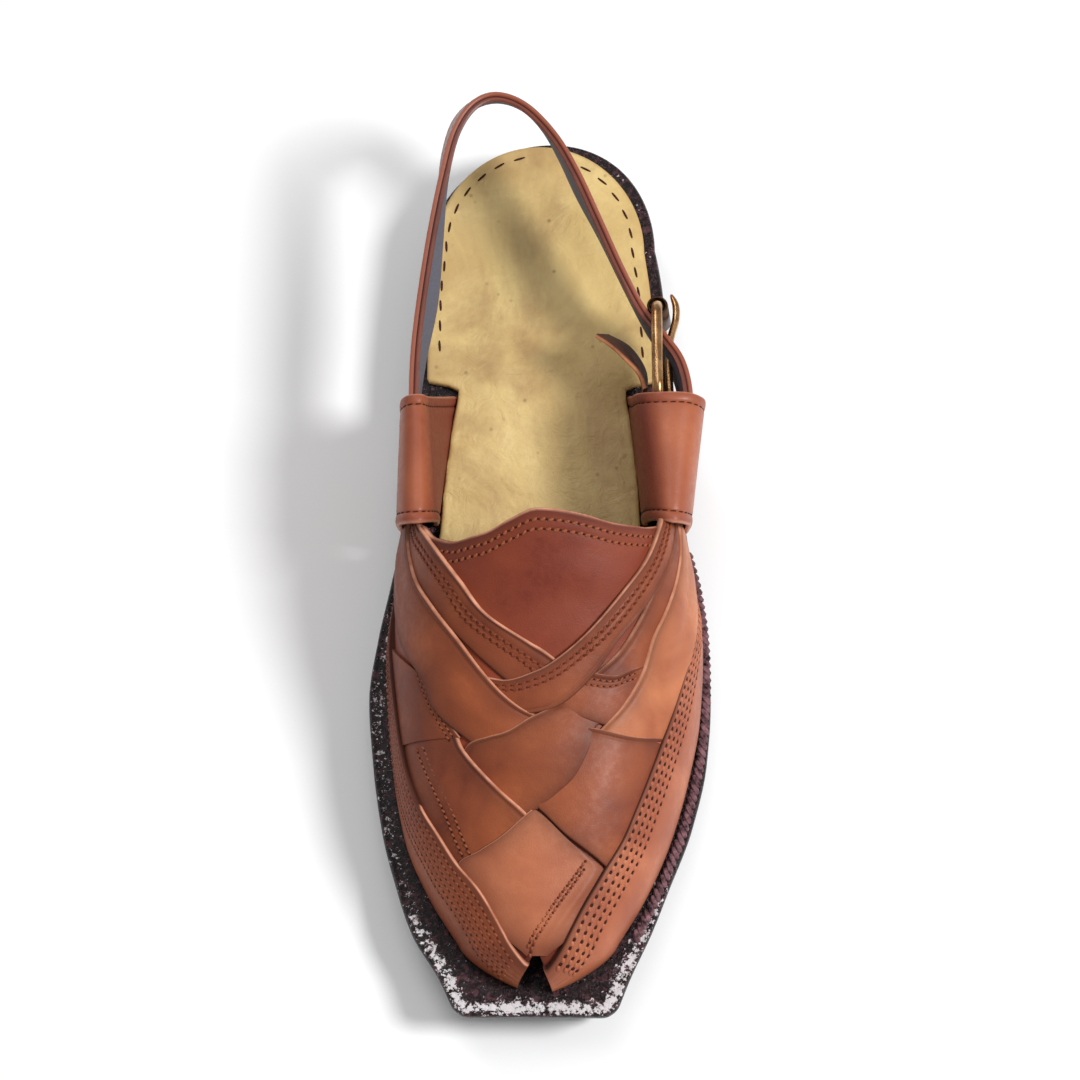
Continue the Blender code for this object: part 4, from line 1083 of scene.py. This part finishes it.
def heelStrap():
    # a flat band of two layers: its cross-section is a rounded oblong with a groove in each edge
    rungs = throughRows(heelStrapPath, strap["rows"])
    top, lean = rungs[:, :3], rungs[:, 3:]
    run = unit(np.gradient(top, axis=0) * (1, 1, 0))
    inwards = np.cross((0, 0, -1), run)
    drop = np.sqrt(strap["height"] ** 2 - lean**2)
    low = top + inwards * lean - (0, 0, 1) * drop
    down = unit(low - top)
    normal = unit(np.cross(run, down))
    facing = np.sign((normal * inwards).sum(axis=1).mean())
    edge = np.array(strapEdge)
    face = np.linspace(0.8, -0.8, 9)
    p = np.concatenate([edge[:, 0], np.ones(9), edge[::-1, 0], -np.ones(9)])
    q = np.concatenate([edge[:, 1], face, -edge[::-1, 1], face[::-1]])
    plain = np.zeros(9)
    tanEdge, groove = (np.concatenate([edge[:, k], plain, edge[::-1, k], plain]) for k in (2, 3))
    middle = (top + low) / 2
    rings = (
        middle[:, None]
        - down[:, None] * (q * strap["height"] / 2)[None, :, None]
        + normal[:, None] * (p * facing * strap["thickness"] / 2)[None, :, None]
    )
    lining = np.clip(p * 8 - 6.8, 0, 1) * (np.abs(q) < 0.9)
    values = {"lining": lining, "edge": tanEdge, "burnish_and_shade": groove}
    values = {key: np.broadcast_to(value, rings.shape[:2]) for key, value in values.items()}
    outside = -facing * normal
    reach = strap["height"] / 2 - strap["seamInset"]
    for side in (-1, 1):
        line = middle + down * reach * side + outside * (strap["thickness"] / 2 - 0.2)
        sewn("darkThreads", line, outside)
    return tube("heel_strap_band", rings, strapTan, ("heel_strap",), values)


heelStrap()
guardRows = (  # upper edge x, y, z, then lower edge
    (-32.8, -43.4, 58, -32.8, -43.4, 40.5), (-31.2, -47.8, 58.4, -33.6, -50.4, 41),
    (-27.8, -52, 58.4, -33, -57.2, 42), (-22.4, -58, 57.6, -28.4, -63.6, 44),
    (-17.6, -62.8, 55, -21.6, -66.4, 47),
)
guardLook = {"rows": 40, "middle": 8, "thickness": 1.5, "side": 1, "pale": (1.2, 0.6)}
hide("buckle_guard_flap", ruled(guardRows), ("cut", "cut"), guardLeather, ("buckle_guard",), guardLook)
print("keepers and straps made")

buckle = {
    "x": -38.6,
    "z": 52.0,
    "rearY": -72.0,
    "hingeY": -38.0,
    "height": 23.6,
    "lean": 1.4,
    "corner": 6.0,
    "bar": 1.8,
    "prong": 1.2,
    "leather": 2.0,
    "loopHeight": 11.6,
    "slotHeight": 4.0,
    "loopFront": -25.0,
}


def buckleX(z):
    # the buckle leans out in a straight line from its middle
    return buckle["x"] + buckle["lean"] * (z - buckle["z"]) / (buckle["height"] / 2)


def bar(name, path, radius, node, cyclic=False, side=(1.0, 0.0, 0.0)):
    # a round profile carried along a path with a fixed sideways direction
    if cyclic:
        run = unit(np.roll(path, -1, axis=0) - np.roll(path, 1, axis=0))
    else:
        run = unit(np.gradient(path, axis=0))
    out = unit(np.cross(run, side))
    aside = unit(np.cross(out, run))
    turn = np.arange(16) * 2 * math.pi / 16
    size = np.asarray(radius) * np.ones(len(path))
    rings = (
        path[:, None]
        + out[:, None] * (np.cos(turn)[None] * size[:, None])[..., None]
        + aside[:, None] * (np.sin(turn)[None] * size[:, None])[..., None]
    )
    return tube(name, rings, brass, (node,), None, cyclic)


def buckleFrame():
    # an oblong with round corners, in a leaning plane
    middle = np.array(((buckle["rearY"] + buckle["hingeY"]) / 2, buckle["z"]))
    half = np.array(((buckle["hingeY"] - buckle["rearY"]) / 2, buckle["height"] / 2))
    turns = np.radians(np.concatenate([np.linspace(q, q + 90, 13) for q in (0, 90, 180, 270)]))
    quarter = np.repeat(((1, 1), (-1, 1), (-1, -1), (1, -1)), 13, axis=0)
    corner = np.stack([np.cos(turns), np.sin(turns)], axis=1) * buckle["corner"]
    ring = middle + quarter * (half - buckle["corner"]) + corner
    path = np.column_stack([buckleX(ring[:, 1]), ring])
    return bar("buckle_ring", path, buckle["bar"], "buckle_frame", cyclic=True)


prongPath = ((-41.6, -46), (-41.4, -54), (-42.0, -63), (-43.9, -70.5), (-44.0, -75.5), (-42.6, -79.5))


def buckleProng():
    # a loop round the hinge bar, then a smooth line back, thinning to its tip
    eye = buckle["bar"] + gap + buckle["prong"]
    turns = np.radians(np.linspace(-100, 180, 30))
    loop = np.column_stack([buckle["x"] + eye * np.cos(turns), buckle["hingeY"] + eye * np.sin(turns)])
    plan = np.concatenate([loop, throughRows(prongPath, 40)])
    path = np.column_stack([plan, np.full(len(plan), buckle["z"])])
    size = np.full(len(path), buckle["prong"])
    size[-8:] = buckle["prong"] * np.sqrt(1 - np.linspace(0, 0.94, 8) ** 2)
    return bar("buckle_pin", path, size, "buckle_prong", side=(0.0, 0.0, 1.0))


def buckleLoop():
    # leather folded round the hinge bar: a U in plan with thickness, in two tongues beside the pin
    inner = buckle["bar"] + 1.7 * gap
    turns = np.radians(np.linspace(180, 360, 25))
    front = buckle["loopFront"]
    outline = []
    for radius, neck, neckY, frontY in (
        (inner + buckle["leather"], buckle["leather"], front - 6, front),
        (inner, 0.3, front - 6.6, front - 6.0),
    ):
        bend = np.column_stack([radius * np.cos(turns), radius * np.sin(turns) + buckle["hingeY"]])
        ends = ((radius, buckle["hingeY"] + 3.5), (neck, neckY), (neck, frontY))
        mirror = [(-x, y) for x, y in reversed(ends)]
        outline.append(np.concatenate([mirror, bend, ends]))
    half = (buckle["loopHeight"] - buckle["slotHeight"]) / 2
    for name, low in (("upper", buckle["slotHeight"] / 2), ("lower", -buckle["loopHeight"] / 2)):
        z = buckle["z"] + low + half * np.array((0.04, 0.5, 0.96))
        rings = []
        for edge, levels in ((outline[0], z), (outline[1], z[::-1])):
            for level in levels:
                x = edge[:, 0] + buckleX(level)
                rings.append(np.column_stack([x, edge[:, 1], np.full(len(edge), level)]))
        grid = np.stack(rings, axis=1)
        edges = np.broadcast_to(np.array((1.0, 0, 1, 1, 0, 1)), grid.shape[:2])
        values = {"edge": edges * 0.6, "burnish_and_shade": np.full(grid.shape[:2], 0.5)}
        tube("buckle_loop_" + name, grid, guardLeather, ("buckle_chape",), values)


rollerProfile = (  # radius, height from the buckle's middle
    (2.7, -5.6), (3.2, -5.6), (3.4, -5.3), (3.4, 0), (3.4, 7.4), (3.2, 7.8), (2.7, 7.8), (2.6, 0),
)


def buckleRoller():
    # a tube that turns on the rear bar: out along its outside, back along its bore; its near-black finish
    # paints the shade at the frame's rear end
    turn = np.arange(40)[:, None] * 2 * math.pi / 40
    radius, level = np.array(rollerProfile).T
    z = buckle["z"] + level
    x = buckleX(z)[None] + radius[None] * np.cos(turn)
    y = buckle["rearY"] + radius[None] * np.sin(turn)
    rings = np.stack([x, y, np.broadcast_to(z, x.shape)], axis=-1)
    return tube("buckle_roller", rings, darkRoller, ("buckle_frame",), None, True)


buckleFrame()
buckleProng()
buckleLoop()
buckleRoller()
print("buckle made")

insole = {
    "heelY": -148.0,
    "toeY": 130.0,
    "thickness": 2.8,
    "heelRound": -108.0,
    "heelApexX": 0.0,
    "toeCorner": 0.0,
    "spine": (-106.0, 108.0),
    "seamInset": 4.0,
}


def sidePlan(rows, plan, y, column):
    # half width from the table, closed by an ellipse at the heel and by a corner at the toe
    corner = plan["toeCorner"]
    width = smooth(rows, column, np.maximum(y, plan["heelRound"]))
    heel = partWay(y, plan["heelRound"], plan["heelY"])
    width = width * np.sqrt(1 - heel**2)
    if corner:
        bend = np.clip((y - (plan["toeY"] - corner)) / corner, 0, 1)
        width = width - corner * (1 - np.sqrt(1 - bend**2))
    return width, plan["heelApexX"] * heel**2


def outline(rows, plan):
    # one closed loop in plan: heel, medial side, toe, lateral side, with matching stations
    rear, front = plan["heelRound"], plan["toeY"]
    toeReach = max(plan["toeCorner"], 6.0)
    heel = rear - (rear - plan["heelY"]) * np.sin(np.linspace(1, 0, 30) * math.pi / 2)
    body = np.linspace(rear, front - toeReach, 170)[1:]
    toe = front - toeReach * (1 - np.sin(np.linspace(0, 1, 14) * math.pi / 2))
    y = np.concatenate([heel, body, toe[1:]])
    medial, shift = sidePlan(rows, plan, y, 1)
    lateral = sidePlan(rows, plan, y, 2)[0]
    sides = [medial + shift, -lateral + shift]
    middle = (sides[0][-1] + sides[1][-1]) / 2
    y = np.concatenate([y, np.full(11, front)])
    sides = [np.concatenate([x, np.linspace(x[-1], middle, 12)[1:]]) for x in sides]
    inner, outer = (np.column_stack([x, y]) for x in sides)
    return np.concatenate([inner, outer[::-1]])


def insetLoop(loop, inset):
    # the loop moved in along its normal in plan
    run = unit(np.roll(loop, -1, axis=0) - np.roll(loop, 1, axis=0))
    return loop + np.column_stack([-run[:, 1], run[:, 0]]) * inset


def layer(name, loop, profile, low, high, finish, slot, node, dent=None, values=None):
    # the loop at each row of the profile, drawn in towards the insole's spine and set between
    # the low and the high surface; the dent shapes what lies on top
    rings = []
    for inset, share, level, rise in profile:
        plan = insetLoop(loop, inset)
        centre = np.column_stack([np.zeros(len(plan)), np.clip(plan[:, 1], *insole["spine"])])
        plan = plan * (1 - share) + centre * share
        z = low(plan[:, 1]) * (1 - level) + high(plan[:, 1]) * level + rise
        if dent is not None and level > 0.9:
            z = z + dent(plan[:, 0], plan[:, 1])
        rings.append(np.column_stack([plan, z]))
    rings = np.stack(rings)
    made = {}
    for key, value in (values or {}).items():
        value = value(rings) if callable(value) else np.array(value)[:, None]
        made[key] = np.broadcast_to(value, rings.shape[:2])
    return tube(name, rings, finish, (node,), made)


def jointHeight(y):
    # where welt and outsole meet
    return weltTop(y) - sole["welt"]


weltLoop = outline(soleWidths, sole)
weltProfile = (  # inset, share of the way to the spine, share from low to high, rise
    (6, 0, 0, 0), (1.2, 0, 0, 0), (0.7, 0, 0, 0.3), (0.5, 0, 0.1, 0), (0.1, 0, 0.35, 0), (0, 0, 0.6, 0),
    (0.1, 0, 0.85, 0), (0.5, 0, 1, -0.2), (0.9, 0, 1, 0.1), (1.4, 0, 1, 0), (2.2, 0, 1, -0.1),
    (3.2, 0, 1, 0), (4.5, 0, 1, 0), (6, 0, 1, 0), (8, 0, 1, 0), (14, 0, 1, 0),
)


def glintBand(rings):
    # painted glints in a band inside the outer edge, full at the toe and faint along the medial side
    inset = np.array([row[0] for row in weltProfile])[:, None]
    band = np.exp(-(((inset - 2.6) / 2.5) ** 2)) * (inset > 0.3)
    toe = np.clip((rings[..., 1] - 92) / 40, 0, 1)
    side = np.clip((rings[..., 1] + 10) / 60, 0, 1) * np.clip(rings[..., 0] / 20, 0, 1)
    return band * np.maximum(toe, 0.42 * side)


layer(
    "welt", weltLoop, weltProfile, jointHeight, weltTop,
    weltWax, "welt_leather", "midsole", values={"glint_band": glintBand},
)
outsoleProfile = (
    (8, 0, 0, 0), (2.2, 0, 0, 0), (1.7, 0, 0, 0.35), (1.45, 0, 0, 0.9), (1, 0, 0.4, 0),
    (0.55, 0, 0.72, 0), (0.9, 0, 0.75, 0), (0.5, 0, 0.78, 0), (0.15, 0, 0.93, 0), (0.5, 0, 1, -0.05),
    (6, 0, 1, 0),
)
layer(
    "outsole_tread", insetLoop(weltLoop, sole["overhang"]), outsoleProfile,
    soleBottom, lambda y: jointHeight(y) - gap, rubber, "sole_rubber", "outsole",
)


def heelLoop():
    # the rear of the outsole's outline, closed straight across at the heel's breast
    loop = insetLoop(weltLoop, sole["overhang"] + sole["draft"])
    half = len(loop) // 2
    sides = [side[side[:, 1] < sole["heelBreast"]] for side in (loop[:half], loop[half:][::-1])]
    corners = [np.array((side[-1, 0], sole["heelBreast"])) for side in sides]
    centre = (corners[0] + corners[1]) / 2
    across = np.linspace(0, 1, 12)[1:-1, None]
    medial, lateral = (
        np.concatenate([side, corner + (centre - corner) * across])
        for side, corner in zip(sides, corners)
    )
    return np.concatenate([medial, lateral[::-1]])


heelProfile = (
    (5, 0, 0, 0), (1.2, 0, 0, 0), (0.5, 0, 0, 0.3), (0.2, 0, 0.2, 0), (0.2, 0, 0.4, 0),
    (0.5, 0, 0.44, 0), (0.2, 0, 0.48, 0), (0.1, 0, 0.9, 0), (0.4, 0, 1, 0), (5, 0, 1, 0),
)
layer(
    "heel_lift", heelLoop(), heelProfile,
    lambda y: 0.0 * y, lambda y: 0.0 * y + sole["heelRise"] - gap, rubber, "sole_rubber", "heel",
)


def footDent(x, y):
    # soft hollows under heel and ball, low waves, and short creases by the medial keeper
    heel = -0.5 * np.exp(-(((x + 1) / 22) ** 2 + ((y + 105) / 30) ** 2))
    ball = -0.5 * np.exp(-((x / 30) ** 2 + ((y - 50) / 30) ** 2))
    waves = 0.12 * np.sin(x / 3.1 + 1.2 * np.sin(y / 9.0)) * np.sin(y / 5.3 + x / 14)
    creases = 0.3 * np.sin(y / 1.7 + x / 7) * np.exp(-(((x - 28) / 7) ** 2) - ((y + 30) / 16) ** 2)
    return heel + ball + waves + creases


insoleLoop = outline(insoleWidths, insole)
insoleProfile = [
    (3, 0, 0, 0), (0.5, 0, 0, 0), (0.1, 0, 0.3, 0), (0, 0, 0.6, 0), (0.15, 0, 0.85, 0),
    (0.6, 0, 1, -0.08), (1.4, 0, 1, -0.02), (2.4, 0, 1, 0), (2.9, 0, 1, -0.06), (3.4, 0, 1, 0),
]
insoleProfile += [(4.5, share, 1, 0) for share in np.linspace(0, 0.96, 22)]
insoleEdge = [0, 1, 1, 1, 1, 0.5] + [0] * (len(insoleProfile) - 6)
layer(
    "footbed", insoleLoop, insoleProfile,
    lambda y: weltTop(y) + gap, lambda y: weltTop(y) + gap + insole["thickness"],
    footbed, "insole_leather", "insole", footDent, {"edge": insoleEdge},
)
print("sole made")


def sewFootbed():
    # long dark stitches round the heel seat, just inside its edge
    loop = insetLoop(insoleLoop, insole["seamInset"])
    half = len(loop) // 2
    for part in (loop[:half], loop[half:]):
        part = part[(part[:, 1] < -66) & (np.abs(part[:, 0]) > 2)]
        z = weltTop(part[:, 1]) + gap + insole["thickness"] + footDent(part[:, 0], part[:, 1])
        sewn("footbedThreads", np.column_stack([part, z]), np.tile((0.0, 0.0, 1.0), (len(part), 1)))


def sewCord():
    # along the middle of the ledge between the foot of the upper and the edge of the sole
    y = np.linspace(-4, 126, 200)
    foot = featherHalfWidth(y, False) + 1.9
    middle = (foot + smooth(soleWidths, 2, y) - 0.6) / 2
    ledge = np.column_stack([-middle, y, weltTop(y) + 0.35])
    sewn("cord", ledge, np.tile((0.0, 0.0, 1.0), (len(ledge), 1)))


sewFootbed()
sewCord()
stitches = {  # length, width and height of one stitch, its slant, rise and shift, finish and slot
    "threads": (2.0, 0.95, 0.75, 28, 0.1, 0, tanThread, leatherSlot),
    "fineThreads": (1.5, 0.7, 0.6, 26, 0.08, 0, tanThread, leatherSlot),
    "brownThreads": (2.0, 0.95, 0.6, 32, 0.04, 0, brownThread, leatherSlot),
    "darkThreads": (1.9, 0.6, 0.5, 4, 0.05, 0, darkThread, leatherSlot),
    "footbedThreads": (4.2, 0.8, 0.6, 4, 0.1, 0, darkThread, "insole_leather"),
    "cord": (4.8, 2.3, 1.7, 38, 0.0, 0, cordFinish, "welt_leather"),
    "punched": (1.9, 1.3, 0.9, 30, 0.06, 1.45, warmHighlightTan, leatherSlot),
    "pricked": (1.3, 0.9, 0.55, 26, 0.04, 1.15, tan, leatherSlot),
}
for kind, (length, width, height, *place) in stitches.items():
    repeated(kind + "_stitches", kind, bead(length, width, height), *place)
# dark discs at the needle holes and pinholes: painted shade inside each hole
holes = {  # width and depth of one hole, its shift as a share of the pitch, and its finish
    "threads": (1.05, 0.26, 0.5, pitFinish),
    "fineThreads": (0.8, 0.22, 0.5, pitFinish),
    "brownThreads": (1.05, 0.26, 0.5, softPit),
    "punched": (1.5, 0.36, 0.0, pitFinish),
    "pricked": (0.9, 0.24, 0.0, softPit),
}
for kind, (width, depth, share, finish) in holes.items():
    shape = bead(width, width, depth, rings=2, sides=8)
    repeated(kind + "_holes", kind, shape, 0.0, 0.0, share * pitches[kind], finish, leatherSlot)
print("sewing made")

stage = {"half": 3.0, "colour": (246, 246, 247), "rough": 0.7, "sky": 0.38}
lights = {  # place, what it is aimed at, size, power
    "key_light": ((-0.78, 0.18, 1.0), (0, 0, 0.03), 0.34, 13.8),
    "top_light": ((0.1, -0.3, 1.5), (0, 0, 0.03), 0.7, 3.0),
    "rim_light": ((0.55, -0.85, 1.05), (0, 0, 0.05), 0.5, 3.6),
}
view = {"place": (0.0, 0.3026, 0.8246), "target": (0.0, 0.00245, 0.0), "lens": 87.95, "shift": 0.0434}
floorMesh = bpy.data.meshes.new("floor")
floorCorners = [(x * stage["half"], y * stage["half"], 0) for x, y in ((-1, -1), (1, -1), (1, 1), (-1, 1))]
floorMesh.from_pydata(floorCorners, [], [(0, 1, 2, 3)])
floor = bpy.data.objects.new("floor", floorMesh)
bpy.context.scene.collection.objects.link(floor)
floorMesh.materials.append(newMaterial("pale_floor"))
shade({"Base Color": tint(*stage["colour"]), "Roughness": stage["rough"]})


def aimed(name, data, place, target):
    # a light or camera at its place, its -Z axis turned to the target
    made = bpy.data.objects.new(name, data)
    bpy.context.scene.collection.objects.link(made)
    made.location = place
    made.rotation_euler = (Vector(target) - Vector(place)).to_track_quat("-Z", "Y").to_euler()
    return made


for name, (place, target, size, power) in lights.items():
    lamp = bpy.data.lights.new(name, "AREA")
    lamp.shape = "DISK"
    lamp.size = size
    lamp.energy = power
    aimed(name, lamp, place, target)

world = bpy.context.scene.world or bpy.data.worlds.new("studio")
bpy.context.scene.world = world
world.use_nodes = True
sky = world.node_tree.nodes["Background"]
sky.inputs["Color"].default_value = (1.0, 1.0, 1.0, 1.0)
sky.inputs["Strength"].default_value = stage["sky"]
bpy.context.scene.view_settings.view_transform = "Standard"

lensData = bpy.data.cameras.new("camera")
lensData.lens = view["lens"]
lensData.sensor_width = 36.0
lensData.shift_y = view["shift"]
lensData.clip_start = 0.05
lensData.clip_end = 20.0
bpy.context.scene.camera = aimed("camera", lensData, view["place"], view["target"])
print("floor, light and camera made")
